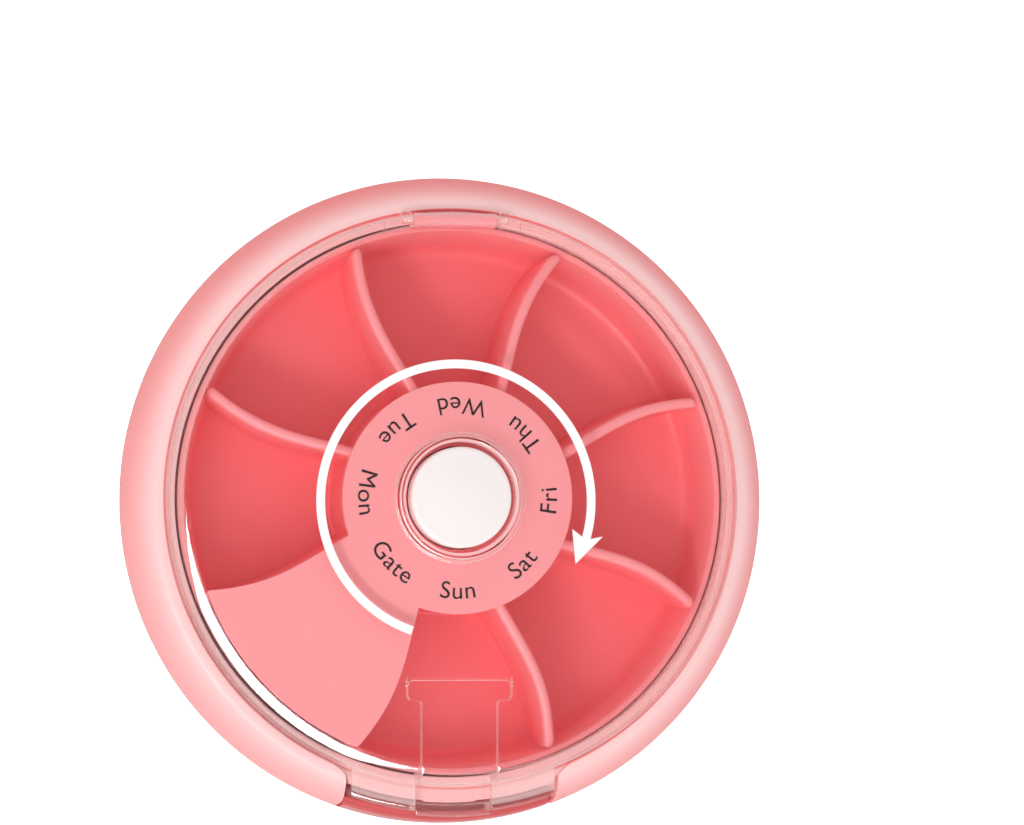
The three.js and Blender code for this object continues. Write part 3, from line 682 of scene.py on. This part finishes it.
def rim_ring():
    low = PARTING + GAP
    shell = turned("case_rim", ring_outline([(38.3, 17.8, 0), (40, 17.2, 0), (42.3, 14.6, 0), (43, low, 0)]))
    thick = ring_outline([(38.3, 17.8, 0), (39.6, 17.2, 0), (39.6, low, 0)])
    solid_part = turned("rim_front", thick, FRONT - 45, FRONT + 45)
    join(shell, within(solid_part, front_slice(NOTCH_HALF + 1.2)))
    back = [(x, y, 0) for x, y in arc((0, 0), (41.6, 41.6), FRONT - 20, FRONT + 20, 30)]
    mouth = [(15.9, -60, 0), (15.9, -43.2, 1.2), (NOTCH_HALF, -41.7, 1.0)]
    deep = notch("deep", mouth + [(NOTCH_HALF, -37.6, 0.8)], back, 5, 30)
    flare = mouth + [(NOTCH_HALF, -37.9, 1.6), (16.6, -36.2, 0), (14, -33, 0)]
    shelf = notch("shelf", flare, [], LEDGE_Z, 30)
    cut(shell, deep, shelf)
    lug = box("lug", (-5.8, HINGE_Y - 0.95, LEDGE_Z - 0.3), (5.8, HINGE_Y + 0.95, HINGE_Z))
    lug_foot = box("lug_foot", (-5.8, HINGE_Y, LEDGE_Z - 0.8), (5.8, HINGE_Y + 1.45, LEDGE_Z + 0.6))
    lug_top = rod("lug_top", 0.95, -5.8, 5.8, HINGE_Y, HINGE_Z)
    bead = turned("bead", [(41.3, 16.6), (41.85, 16.9), (41.85, 17.1), (41.3, 17.4)], FRONT - 5, FRONT + 5)
    join(shell, lug, lug_foot, lug_top, bead)
    cut(shell, rod("pin_hole", PIN_HOLE, -7, 7, HINGE_Y, HINGE_Z))
    return even(softened(shell, 0.22, 3, 50))


def tint_lug(piece):
    """The hinge lug takes the deeper pink of the day plate."""
    piece.data.materials.append(ROSE)
    for polygon in piece.data.polygons:
        x, y, z = polygon.center / MM
        if abs(x) < 5.9 and 37 < y < 39.5 and z > LEDGE_Z + 0.05:
            polygon.material_index = 1


tint_lug(dress(rim_ring(), BLUSH, "case", "blush_plastic", "rim_ring"))

# %% [markdown]
# ## The wheel
# The wheel is a bowl with a hub. Each compartment has a flat floor that curves up into a sloping
# outer wall, so that a pill slides to where a finger can reach it. The bowl is one turned outline,
# and painted light makes the upper part of its thin outer wall lighter towards its top.

# %% Wheel bowl
FLOOR = 9.9
HUB_R, HUB_TOP = 15.5, 22.7
RIM_R, RIM_TOP = reach("tray"), 18.7


def wheel_bowl():
    under = bottom("tray")
    outline = rounded(
        [
            (6.35, under, 0.2),
            (36.2, under, 0.8),
            (RIM_R, RIM_TOP, 0.3),
            (RIM_R - 0.9, RIM_TOP, 0.3),
            (35.5, FLOOR, 2.6),
            (HUB_R + 0.1, FLOOR, 0.6),
            (HUB_R, HUB_TOP, 0.15),
            (14, HUB_TOP, 0.15),
            (14, 13.7, 0),
            (12.6, 13.7, 0.1),
            (12.6, FLOOR, 0.2),
            (8, FLOOR, 0.2),
            (8, 12, 0.2),
            (6.35, 12, 0.2),
        ]
    )
    bowl = turned("wheel_bowl", outline)
    # Painted light: the outer wall is lighter towards its top.
    layer = bowl.data.attributes.new("thin_edge", "FLOAT", "POINT")
    for vertex, item in zip(bowl.data.vertices, layer.data):
        radius, height = vertex.co.xy.length / MM, vertex.co.z / MM
        item.value = max(0, min(0.8, (height - 10.5) / 3)) if radius > 34 else 0
    return smooth(bowl)


dress(wheel_bowl(), CORAL, "wheel", "coral_plastic", "tray")

# %% [markdown]
# ## One divider
# A divider is a thin bowed blade with a round top that slopes down towards the rim and a round tip.
# It is lofted through cross-sections, because its bow, its slope and its tip all change along it, and
# no single extrusion follows all three.

# %% One divider
BLADE = {"inner": 14.8, "outer": 36.8, "half": 0.74, "bow": 3.5, "foot": 1.15}


def bowed(angle, radius):
    """The angle of a blade's middle line at a distance from the axle."""
    along = min(1, (radius - BLADE["inner"]) / (BLADE["outer"] - BLADE["inner"]))
    return angle + BLADE["bow"] * math.sin(math.pi * along)


def blade_top(radius, low):
    if low:
        return HUB_TOP - 0.05
    slope = [(15.5, 23.45), (28, 22.6), (36.8, 20.55)]
    for (r0, z0), (r1, z1) in zip(slope, slope[1:]):
        if radius <= r1:
            return z0 + (z1 - z0) * max(0, radius - r0) / (r1 - r0)
    return slope[-1][1]


def blade_section(half, top_z, foot):
    """Half-widths and heights up one side, over the round top and down the other."""
    fillet = half + (foot - half) * 0.35
    side = [(foot, FLOOR - 0.4), (foot, FLOOR), (fillet, FLOOR + 0.35)]
    side += [(half, FLOOR + 1.1), (half, top_z - half)]
    crown = arc((0, top_z - half), (half, half), 0, 180, 8)[1:-1]
    return side + crown + [(-x, z) for x, z in reversed(side)]


def divider(name, low):
    bm = bmesh.new()
    top_light_layer = bm.verts.layers.float.new("thin_edge")
    straight = BLADE["outer"] - BLADE["half"]
    stations = [(BLADE["inner"] + (straight - BLADE["inner"]) * i / 26, 1.0) for i in range(27)]
    for i in range(1, 7):
        turn = math.radians(90 * i / 6.4)
        stations.append((straight + BLADE["half"] * math.sin(turn), math.cos(turn)))
    rings = []
    for radius, width in stations:
        top_z = blade_top(radius, low) - BLADE["half"] * (1 - width)
        ring = []
        for sideways, z in blade_section(BLADE["half"] * width, top_z, BLADE["foot"] * width):
            x, y = polar(radius, bowed(0, radius) + math.degrees(sideways / radius))
            vertex = bm.verts.new((x * MM, y * MM, z * MM))
            # Painted light: the blade is lighter towards its top.
            vertex[top_light_layer] = max(0.0, min(1.0, 1 - (top_z - z) / 2.4))
            ring.append(vertex)
        rings.append(ring)
    for near, far in zip(rings, rings[1:]):
        for i in range(len(near)):
            j = (i + 1) % len(near)
            bm.faces.new((near[i], near[j], far[j], far[i]))
    bm.faces.new(rings[0])
    bm.faces.new(list(reversed(rings[-1])))
    return from_bmesh(name, bm)


print("a divider is", BLADE["outer"] - BLADE["inner"], "long and", 2 * BLADE["half"], "thick")

# %% [markdown]
# ## All the dividers
# The wheel has six tall dividers, and two low ones that the gate's fan lies on. A blade's shape is a
# matter of sections, but its places are a rule with three numbers, so a Geometry Nodes tree sets the
# copies round the axle. Its inputs carry plain names, and the same tree serves both sets.

# %% Set copies round the axle
def round_the_axle():
    """A tree that turns copies of a mesh about Z: Count of them, from First angle, Step apart."""
    tree = bpy.data.node_groups.new("set_round_the_axle", "GeometryNodeTree")
    face = tree.interface
    face.new_socket("Geometry", in_out="INPUT", socket_type="NodeSocketGeometry")
    face.new_socket("Count", in_out="INPUT", socket_type="NodeSocketInt")
    face.new_socket("First angle", in_out="INPUT", socket_type="NodeSocketFloat")
    face.new_socket("Step", in_out="INPUT", socket_type="NodeSocketFloat")
    face.new_socket("Material", in_out="INPUT", socket_type="NodeSocketMaterial")
    face.new_socket("Geometry", in_out="OUTPUT", socket_type="NodeSocketGeometry")
    given = add(tree, "NodeGroupInput").outputs
    points = add(tree, "GeometryNodePoints", {"Count": given["Count"]})
    index = add(tree, "GeometryNodeInputIndex")
    turn = add(
        tree,
        "ShaderNodeMath",
        {0: index.outputs[0], 1: given["Step"], 2: given["First angle"]},
        operation="MULTIPLY_ADD",
    )
    angles = add(tree, "ShaderNodeCombineXYZ", {"Z": turn.outputs[0]})
    rotation = add(tree, "FunctionNodeEulerToRotation", {"Euler": angles.outputs[0]})
    copies = add(
        tree,
        "GeometryNodeInstanceOnPoints",
        {"Points": points.outputs[0], "Instance": given["Geometry"], "Rotation": rotation.outputs[0]},
    )
    whole = add(tree, "GeometryNodeRealizeInstances", {"Geometry": copies.outputs[0]}).outputs[0]
    painted = add(tree, "GeometryNodeSetMaterial", {"Geometry": whole, "Material": given["Material"]})
    add(tree, "NodeGroupOutput", {"Geometry": painted.outputs[0]})
    return tree


def set_inputs(modifier, **values):
    """Sets a Geometry Nodes modifier's inputs by the identifiers of the sockets with these names."""
    for item in modifier.node_group.interface.items_tree:
        key = item.name.replace(" ", "_").lower()
        if item.in_out == "INPUT" and key in values:
            modifier[item.identifier] = values[key]


AXLE_TREE = round_the_axle()
TALL_FIRST, GATE_FIRST, STEP = -68.5, 201.5, 45


def ring_of(piece, count, first, material):
    modifier = piece.modifiers.new("round_the_axle", "NODES")
    modifier.node_group = AXLE_TREE
    places = {"count": count, "first_angle": math.radians(first), "step": math.radians(STEP)}
    set_inputs(modifier, **places, material=material)
    return smooth(baked(piece), 50)


tall = ring_of(divider("wheel_dividers", low=False), 6, TALL_FIRST, CORAL)
dress(tall, CORAL, "wheel", "coral_plastic")
short = ring_of(divider("gate_dividers", low=True), 2, GATE_FIRST, CORAL)
dress(short, CORAL, "wheel", "coral_plastic")

# %% [markdown]
# ## The day plate
# One flat rose moulding carries the day names round the button and fans out over the compartment
# that is closed for the door's rest place, the gate. The fan's sides follow the bowed dividers under
# them, so they are drawn by the dividers' own rule. It is a plate with its edges rounded, and a
# coral sleeve below it keeps the driver down. The sleeve's darker coral, seen in the ring round the
# button, is painted shade for the gap there.

# %% Day plate
PLATE_LOW, PLATE_TOP = 23.0, top("day_plate")
DISC_R, GATE_R = 15.9, 36.7
SLEEVE_R = 8.4
FAN_LAP = 0.85


def blade_side(start, offset, outer, count=20):
    """Points along one side of a divider, at an offset from its middle line."""
    points = []
    for i in range(count + 1):
        radius = BLADE["inner"] + (outer - BLADE["inner"]) * i / count
        points.append(polar(radius, bowed(start, radius) + math.degrees(offset / radius)))
    return points


def day_plate():
    near = blade_side(GATE_FIRST, -FAN_LAP, GATE_R)
    far = blade_side(GATE_FIRST + STEP, FAN_LAP, GATE_R)[::-1]
    edge = arc((0, 0), (GATE_R, GATE_R), GATE_FIRST, GATE_FIRST + STEP, 24)
    corners = [(x, y, 0) for x, y in near[:-1]] + [(*near[-1], 0.8)]
    corners += [(x, y, 0) for x, y in edge[2:-2]] + [(*far[0], 0.8)] + [(x, y, 0) for x, y in far[1:]]
    fan = plate("fan", rounded(corners), PLATE_LOW, PLATE_TOP)
    disc = plate("label_disc", arc((0, 0), (DISC_R, DISC_R), 0, 358, 179), PLATE_LOW, PLATE_TOP)
    piece = join(disc, fan)
    cut(piece, plate("hole", arc((0, 0), (SLEEVE_R, SLEEVE_R), 0, 357, 119), 20, 30))
    return even(softened(piece, 0.3, 3, 50), 40)


def plate_sleeve():
    outline = [(7.05, 17, 0.1), (9.1, 17, 0.1), (9.1, 22.95, 0), (SLEEVE_R - 0.05, 22.95, 0)]
    outline += [(SLEEVE_R - 0.05, 24.2, 0.2), (7.05, 24.2, 0.2)]
    return smooth(turned("plate_sleeve", rounded(outline), steps=120))


dress(day_plate(), ROSE, "wheel", "rose_plastic", "day_plate")
# The sleeve's darker coral is painted shade, standing for the gap round the button.
dress(plate_sleeve(), CASE_CORAL, "wheel", "rose_plastic")

# %% [markdown]
# ## The day names
# Each name is a text object turned to a mesh and then wrapped round the disc, so its letters follow
# the circle. The letters stand with their heads towards the button. They are a print, so they are
# only a few hundredths of a millimetre proud of the plate. An image texture could carry them, but a
# mesh keeps their edges sharp at any size.

# %% Day names
DAYS = {"Sun": 270, "Sat": 314.5, "Fri": 358.5, "Thu": 43.5, "Wed": 87.5, "Tue": 131.7, "Mon": 176.8}
DAYS["Gate"] = 224
LETTER_SIZE = 3.35
BASELINE_R, MIDLINE_R = 13.8, 12.7
PRINT = 0.03


def word_mesh(word, size):
    curve = bpy.data.curves.new(word, "FONT")
    curve.body = word
    curve.size = size
    curve.align_x = "CENTER"
    curve.space_character = 1.04
    curve.resolution_u = 6
    curve.extrude = PRINT / 2
    holder = new_object(word, curve)
    depsgraph = bpy.context.evaluated_depsgraph_get()
    mesh = bpy.data.meshes.new_from_object(holder.evaluated_get(depsgraph))
    bpy.data.objects.remove(holder)
    bm = bmesh.new()
    bm.from_mesh(mesh)
    bmesh.ops.remove_doubles(bm, verts=bm.verts, dist=1e-5)
    return bm


def day_names():
    whole = bmesh.new()
    for word, angle in DAYS.items():
        letters = word_mesh(word, LETTER_SIZE)
        for vertex in letters.verts:
            x, y, z = vertex.co
            px, py = polar(BASELINE_R - y, angle + math.degrees(x / MIDLINE_R))
            vertex.co = (px * MM, py * MM, (PLATE_TOP + PRINT / 2 + z) * MM)
        carried = bpy.data.meshes.new("carried")
        letters.to_mesh(carried)
        letters.free()
        whole.from_mesh(carried)
        bpy.data.meshes.remove(carried)
    return from_bmesh("day_names", whole)


dress(day_names(), BLACK_INK, "wheel", "rose_plastic")

# %% [markdown]
# ## The clear cover
# The lid is a clear cap with a rounded shoulder, a raised collar round the button, and at the front a
# tab that steps down over the ledge into the rim ring's gap. The door is cut from the same cover, so
# its curves carry on those of the lid. So the cover is made once, as a function, and used twice: the
# lid is the cover less the door's outline, and the door is what lies inside the outline.

# %% Clear cover and door outline
TAB_HALF = 14.1
TAB_IN, TAB_OUT, TAB_LOW = 42.2, 43.2, 15


def clear_cover(name):
    under, peak = LID_TOP - WALL, top("lid")
    shoulder = [(LID_R - WALL, LID_LOW, 0.2), (LID_R, LID_LOW, 0.3), (LID_R, LID_TOP, 3.2)]
    collar = [(8.95, LID_TOP, 0.12), (8.85, peak - 0.3, 0.12), (8.45, peak - 0.3, 0.1), (8.3, peak, 0.1)]
    collar += [(7.95, peak, 0.16), (7.6, peak - 0.4, 0.12), (7.6, under, 0.3)]
    cap = turned(name, rounded(shoulder + collar + [(LID_R - WALL, under, 1.8)]), steps=240)
    step_down = [(LID_R - 0.7, LID_LOW, 0), (TAB_IN, LID_LOW, 0.3), (TAB_IN, TAB_LOW, 0.2)]
    step_up = [(TAB_OUT, TAB_LOW, 0.4), (TAB_OUT, 20.8, 0.8), (LID_R - 0.7, 20.8, 0)]
    tab = turned("tab", rounded(step_down + step_up), FRONT - 45, FRONT + 45, steps=240)
    return join(cap, within(tab, front_slice(TAB_HALF)))


def door_outline(margin, behind):
    """The door's T from above, its bar towards the button. A margin makes it the opening's outline.
    The door's rear corners are rounder than the opening's, so that they clear it as they swing."""
    bar, stem, front = 7.15 + margin, 5.2 + margin, -27.6 - margin
    swing_corner = 0.9 if margin == 0 else 0.12
    right = [(stem, -60, 0), (stem, front, 0.5), (bar, front, 0.9), (bar, behind, swing_corner)]
    left = [(-x, y, r) for x, y, r in reversed(right)]
    return rounded(right + left)


print("the cover is", WALL, "thick and the tab hangs to", TAB_LOW)

# %% [markdown]
# ## What each clear face does with light
# The cover's faces look alike from afar, but not close up. Cut edges are a little matt, the tab is
# lightly textured where it lies on the ledge, upright walls are seen through their whole depth, and
# the collar's steps bend light strongly. Each rule takes a face's middle and normal, and its value is
# stored on the face, where the clear plastic reads it. Separate materials would do it too, but would
# break one moulding into many.

# %% Values on faces
def face_values(piece, attribute, amount):
    """Stores a value for each face. amount takes a face's middle in millimetres and its normal."""
    values = [amount(polygon.center / MM, polygon.normal) for polygon in piece.data.polygons]
    layer = piece.data.attributes.new(attribute, "FLOAT", "FACE")
    layer.data.foreach_set("value", values)
    return piece


def near_outline(x, y, outline, margin):
    """Whether a point is within a margin of a closed outline."""
    here = Vector((x, y))
    for start, end in zip(outline, outline[1:]):
        along = end - start
        share = max(0, min(1, (here - start).dot(along) / along.length_squared)) if along.length > 0 else 0
        if (here - start - along * share).length < margin:
            return True
    return False


def is_wall(middle, normal):
    return middle.z < 24.6 and abs(normal.z) < 0.6 and middle.xy.length > 37


def matt_share(middle, normal, margin, behind):
    """Cut edges, the collar's corners and the textured tab are a little matt; the rest is polished."""
    radius = middle.xy.length
    if radius > 40 and middle.z < 20.95:
        on_ledge = normal.z > 0.5 and radius < 42.4 and margin > 0
        return 0.35 if on_ledge else 0.05
    if is_wall(middle, normal):
        return 0.25
    if middle.z < 24.6 or abs(normal.z) > 0.97:
        return 0.0
    if radius < 9.4:
        return 0.5 if normal.z > 0.2 else 0.1
    if abs(middle.x) < 7.6 and -36 < middle.y < -24 and middle.z > 24.7:
        return 0.33 if near_outline(middle.x, middle.y, door_outline(margin, behind), 0.14) else 0.0
    return 0.0


def bend_share(middle, normal):
    """How much of the light the collar and the front tab bend; the flat parts let it straight through."""
    if middle.xy.length < 9.4:
        return 0.75
    return 0.2 if middle.xy.length > 40.8 and middle.z < 20.95 else 0.0


def clear_finish(piece, margin, behind):
    face_values(piece, "frost", lambda middle, normal: matt_share(middle, normal, margin, behind))
    face_values(piece, "wall", is_wall)
    return even(face_values(piece, "bend", bend_share), 30)


print("clear faces carry frost, wall and bend")

# %% [markdown]
# ## The lid
# The lid is the cover with the door's opening cut out, grooves for the door's pins, and a gap at the
# rear for the lug, with a knuckle on each side of it for the hinge pin.

# %% Lid
DOOR_HINGE = (-25.4, 25.45)
OPENING_MARGIN, OPENING_BEHIND, DOOR_BEHIND = 0.1, 0.95, 0.45


def lid():
    cover = clear_cover("clear_lid")
    behind = DOOR_HINGE[0] + OPENING_BEHIND
    opening = plate("opening", door_outline(OPENING_MARGIN, behind), 0, 40)
    grooves = rod_pair("groove", 0.42, 6.9, 7.6, *DOOR_HINGE, 20)
    lug_gap = box("lug_gap", (-6.1, 30, 0), (6.1, 45, HINGE_Z + 1.6))
    relief = box("relief", (-9.5, 30, 0), (9.5, 45, 20.2))
    cut(cover, opening, *grooves, lug_gap, relief)
    join(cover, *rod_pair("knuckle", 1.15, 6.1, 7.6, HINGE_Y, HINGE_Z))
    cut(cover, rod("pin_hole", PIN_HOLE, -7.4, 7.4, HINGE_Y, HINGE_Z))
    return clear_finish(softened(cover, 0.1), OPENING_MARGIN, behind)


dress(lid(), CLEAR, "lid", "clear_plastic", "lid")

# %% [markdown]
# ## The door
# The door is what the outline keeps of the cover, with a barrel and two pins at its inner end and a
# finger lip at the front. It is cut from the same cover as the lid, which is why the shoulder's
# highlight runs across it without a step.

# %% Door
def dispensing_door():
    behind = DOOR_HINGE[0] + DOOR_BEHIND
    flap = within(clear_cover("clear_door"), plate("outline", door_outline(0, behind), 0, 40))
    barrel = rod("barrel", 0.7, -6.6, 6.6, *DOOR_HINGE)
    pins = rod("pins", 0.36, -7.45, 7.45, *DOOR_HINGE, 20)
    lip_outline = rounded([(42.6, 19.4, 0), (43.7, 19.4, 0.5), (43.7, 20.9, 0.5), (42.2, 20.85, 0)])
    lip = within(turned("lip", lip_outline, FRONT - 20, FRONT + 20, steps=240), front_slice(5.2))
    join(flap, barrel, pins, lip)
    return clear_finish(softened(flap, 0.1), 0, behind)


dress(dispensing_door(), CLEAR, "door", "clear_plastic", "dispensing_door")

# %% [markdown]
# ## The printed arrow
# A white arrow printed on the lid shows which way the wheel turns. It is a flat band along most of a
# circle round the button, with a swept-back head, and it is as thin as the print on the plate. Its
# middle lies a little off the axle. Its outline is worked out from two circles and three corners.

# %% Arrow
ARROW = {"radius": 18.7, "half": 0.6, "from": 251, "to": -15.5, "tip": -27.5, "head": 2.2, "sweep": 2.2}
ARROW_SHIFT = (-0.5, -0.45)


def arrow():
    middle, half = ARROW["radius"], ARROW["half"]
    outline = arc((0, 0), (middle + half, middle + half), ARROW["to"], ARROW["from"], 120)[::-1]
    outline.append(polar(middle + ARROW["head"], ARROW["to"] + ARROW["sweep"]))
    outline.append(polar(middle - 0.1, ARROW["tip"]))
    outline.append(polar(middle - ARROW["head"], ARROW["to"] + ARROW["sweep"]))
    outline += arc((0, 0), (middle - half, middle - half), ARROW["to"], ARROW["from"], 120)
    placed = [(x + ARROW_SHIFT[0], y + ARROW_SHIFT[1]) for x, y in reversed(outline)]
    return smooth(plate("lid_arrow", placed, LID_TOP, LID_TOP + PRINT))


dress(arrow(), WHITE_INK, "lid", "white_plastic")

# %% [markdown]
# ## The button
# The white button is a low dome with a rounded shoulder and a long skirt, which the collar guides.
# The dome is part of a large circle in the turned outline, so that it stays smooth across the top.

# %% Button
DOME_R = 24


def button_cap():
    peak, radius = top("button_cap"), reach("button_cap")
    dome = [(x, z, 0) for x, z in arc((0, peak - DOME_R), (DOME_R, DOME_R), 90, 76.5, 8)[1:]]
    skirt = [(radius, peak - 0.75, 0.7), (radius, 21.5, 0.2), (radius - 1.1, 21.5, 0.2)]
    under = [(radius - 1.1, peak - 1.6, 0.4), (3.4, peak - 1.6, 0.3), (3.4, 20.3, 0.2), (0, 20.3, 0)]
    cap = turned("push_button", rounded([(0, peak, 0)] + dome + skirt + under), steps=128)
    cut(cap, box("socket", (-1.6, -1.6, 19), (1.6, 1.6, 24.6)))
    return smooth(cap)


dress(button_cap(), WHITE, "button", "white_plastic", "button_cap")

# %% [markdown]
# ## The pieces inside
# The spindle, plunger, driver, ratchet, clips and screws are hidden by the day plate and the case, so
# they keep their CAD shapes, and get the plastic or steel that such pieces are made from. Acetal is
# the usual choice for small working parts, as it is slippery and springs back.

# %% Inner pieces
INNER = {
    ACETAL: ("spindle", "plunger", "driver_ring", "ratchet_ring"),
    BLUSH: ("hinge_pin",),
    SPRING_STEEL: ("pawl_spring", "detent_spring", "tray_retainer"),
    PLATED_STEEL: ("spindle_screw_1", "spindle_screw_2", "spindle_screw_3", "detent_screw"),
}
for material, nodes in INNER.items():
    for node in nodes:
        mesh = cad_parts[node].data
        mesh.materials.clear()
        mesh.materials.append(material)
print("inner pieces dressed")

# %% [markdown]
# ## The return spring
# The spring under the button is a coil, so Geometry Nodes draw it: a spiral curve with a round wire
# swept along it. A press shortens the real spring by the button's travel; here it rides with the button.

# %% Return spring
def coil_tree():
    """A round wire along a spiral: Turns of it, Radius wide and Height tall, its first turn at Low."""
    tree = bpy.data.node_groups.new("coil", "GeometryNodeTree")
    face = tree.interface
    face.new_socket("Geometry", in_out="INPUT", socket_type="NodeSocketGeometry")
    for name in ("Turns", "Radius", "Height", "Wire", "Low"):
        face.new_socket(name, in_out="INPUT", socket_type="NodeSocketFloat")
    face.new_socket("Material", in_out="INPUT", socket_type="NodeSocketMaterial")
    face.new_socket("Geometry", in_out="OUTPUT", socket_type="NodeSocketGeometry")
    given = add(tree, "NodeGroupInput").outputs
    radii = {"Start Radius": given["Radius"], "End Radius": given["Radius"]}
    size = {"Resolution": 48, "Rotations": given["Turns"], "Height": given["Height"]}
    spiral = add(tree, "GeometryNodeCurveSpiral", {**size, **radii})
    wire = add(tree, "GeometryNodeCurvePrimitiveCircle", {"Resolution": 14, "Radius": given["Wire"]})
    sweep = {"Curve": spiral.outputs[0], "Profile Curve": wire.outputs[0], "Fill Caps": True}
    swept = add(tree, "GeometryNodeCurveToMesh", sweep).outputs[0]
    lift = add(tree, "ShaderNodeCombineXYZ", {"Z": given["Low"]})
    raised = add(tree, "GeometryNodeTransform", {"Geometry": swept, "Translation": lift.outputs[0]})
    whole = add(tree, "GeometryNodeRealizeInstances", {"Geometry": raised.outputs[0]}).outputs[0]
    painted = add(tree, "GeometryNodeSetMaterial", {"Geometry": whole, "Material": given["Material"]})
    add(tree, "NodeGroupOutput", {"Geometry": painted.outputs[0]})
    return tree


def return_spring():
    low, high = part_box("return_spring")
    wire = 0.3 * MM
    piece = new_object("button_spring", bpy.data.meshes.new("button_spring"))
    modifier = piece.modifiers.new("coil", "NODES")
    modifier.node_group = coil_tree()
    size = {"turns": 3.5, "radius": high.x - wire, "height": high.z - low.z - 2 * wire}
    set_inputs(modifier, **size, wire=wire, low=low.z + wire, material=SPRING_STEEL)
    return smooth(baked(piece), 60)


spring = dress(return_spring(), SPRING_STEEL, "button", "steel", "return_spring")
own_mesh(spring)

# %% [markdown]
# ## The floor
# A product shot stands on white paper. The floor is pale and matt, and to the camera it also glows,
# so that it is seen evenly white while it lights the case from below only as much as paper would.

# %% Floor
def floor():
    bm = bmesh.new()
    bmesh.ops.create_grid(bm, x_segments=1, y_segments=1, size=3)
    piece = from_bmesh("floor", bm, outwards=False)
    piece.location.z = -0.2 * MM
    material, tree = new_material("pale_floor")
    path = add(tree, "ShaderNodeLightPath")
    matt = add(tree, "ShaderNodeBsdfDiffuse", {"Color": (0.85, 0.8, 0.79, 1)}).outputs[0]
    glow = add(tree, "ShaderNodeEmission", {"Color": (1, 1, 1, 1), "Strength": 0.95})
    both = add(tree, "ShaderNodeAddShader", {0: matt, 1: glow.outputs[0]})
    seen = add(tree, "ShaderNodeMixShader", {0: path.outputs["Is Camera Ray"], 1: matt, 2: both.outputs[0]})
    add(tree, "ShaderNodeOutputMaterial", {"Surface": seen.outputs[0]})
    piece.data.materials.append(material)


floor()
print("floor laid")

# %% [markdown]
# ## The sky
# Most of the light is an even white sky, as in a light tent. It is a little brighter overhead and
# towards the lower left, which gives the round case its soft turn of tone. In reflections the part
# straight overhead is dimmed, as the opening that a tent is looked into through is, so that the flat
# top of the lid stays clear instead of mirroring white.

# %% Sky
LOWER_LEFT = tuple(-v for v in UPPER_RIGHT)


def sky():
    world = bpy.data.worlds.new("studio")
    world.use_nodes = True
    tree = world.node_tree
    direction = add(tree, "ShaderNodeTexCoord").outputs["Generated"]
    height = add(tree, "ShaderNodeSeparateXYZ", {0: direction}).outputs["Z"]
    ramp = {"Value": height, "From Min": -0.05, "From Max": 0.7, "To Min": 0.72, "To Max": 0.9}
    level = add(tree, "ShaderNodeMapRange", ramp).outputs["Result"]
    to_corner = add(tree, "ShaderNodeVectorMath", {0: direction, 1: LOWER_LEFT}, operation="DOT_PRODUCT")
    lean = {"Value": to_corner.outputs["Value"], "From Min": -1.0, "To Min": 0.88, "To Max": 1.08}
    side = add(tree, "ShaderNodeMapRange", lean).outputs["Result"]
    light = add(tree, "ShaderNodeMath", {0: level, 1: side}, operation="MULTIPLY").outputs[0]
    overhead = {"Value": height, "From Min": 0.45, "From Max": 0.85, "To Min": 0.0, "To Max": 0.88}
    opening = add(tree, "ShaderNodeMapRange", overhead).outputs["Result"]
    reflected = add(tree, "ShaderNodeLightPath").outputs["Is Glossy Ray"]
    darker = add(tree, "ShaderNodeMath", {0: opening, 1: reflected}, operation="MULTIPLY").outputs[0]
    kept = add(tree, "ShaderNodeMath", {0: 1.0, 1: darker}, operation="SUBTRACT").outputs[0]
    strength = add(tree, "ShaderNodeMath", {0: light, 1: kept}, operation="MULTIPLY").outputs[0]
    background = tree.nodes["Background"].inputs
    tree.links.new(strength, background["Strength"])
    background["Color"].default_value = (1, 1, 1, 1)
    bpy.context.scene.world = world


sky()
bpy.context.scene.view_settings.view_transform = "Standard"
print("sky made")

# %% [markdown]
# ## The lights
# A narrow strip to the lower left draws the fine highlight along each edge. A wide panel on the same
# side makes the white streak on the lid's shoulder. On the opaque pieces that panel would only wash
# out the colour, so it is linked to the clear ones alone.

# %% Lights
KEY_SIDE, PANEL_SIDE = 228, 230
LIGHT_DISTANCE = 1.17


def soft_light(name, towards, height, size, power):
    """An area light that looks at the object, from a polar direction and an angle off the vertical."""
    data = bpy.data.lights.new(name, "AREA")
    data.shape = "RECTANGLE"
    data.size, data.size_y = size
    data.energy = power
    x, y = polar(math.sin(math.radians(height)), towards)
    place = Vector((x, y, math.cos(math.radians(height)))) * LIGHT_DISTANCE
    light = bpy.data.objects.new(name, data)
    light.location = place
    light.rotation_euler = (-place).to_track_quat("-Z", "Y").to_euler()
    bpy.context.scene.collection.objects.link(light)
    return light


def rim_highlight():
    panel = soft_light("rim_panel", PANEL_SIDE, 50, (1.2, 1.2), 170)
    clear_pieces = bpy.data.collections.new("clear_pieces")
    for name in ("clear_lid", "clear_door"):
        clear_pieces.objects.link(bpy.data.objects[name])
    panel.light_linking.receiver_collection = clear_pieces
    panel.visible_diffuse = False


rim_highlight()
soft_light("key_strip", KEY_SIDE, 40, (0.9, 0.12), 4)
print("lights set")
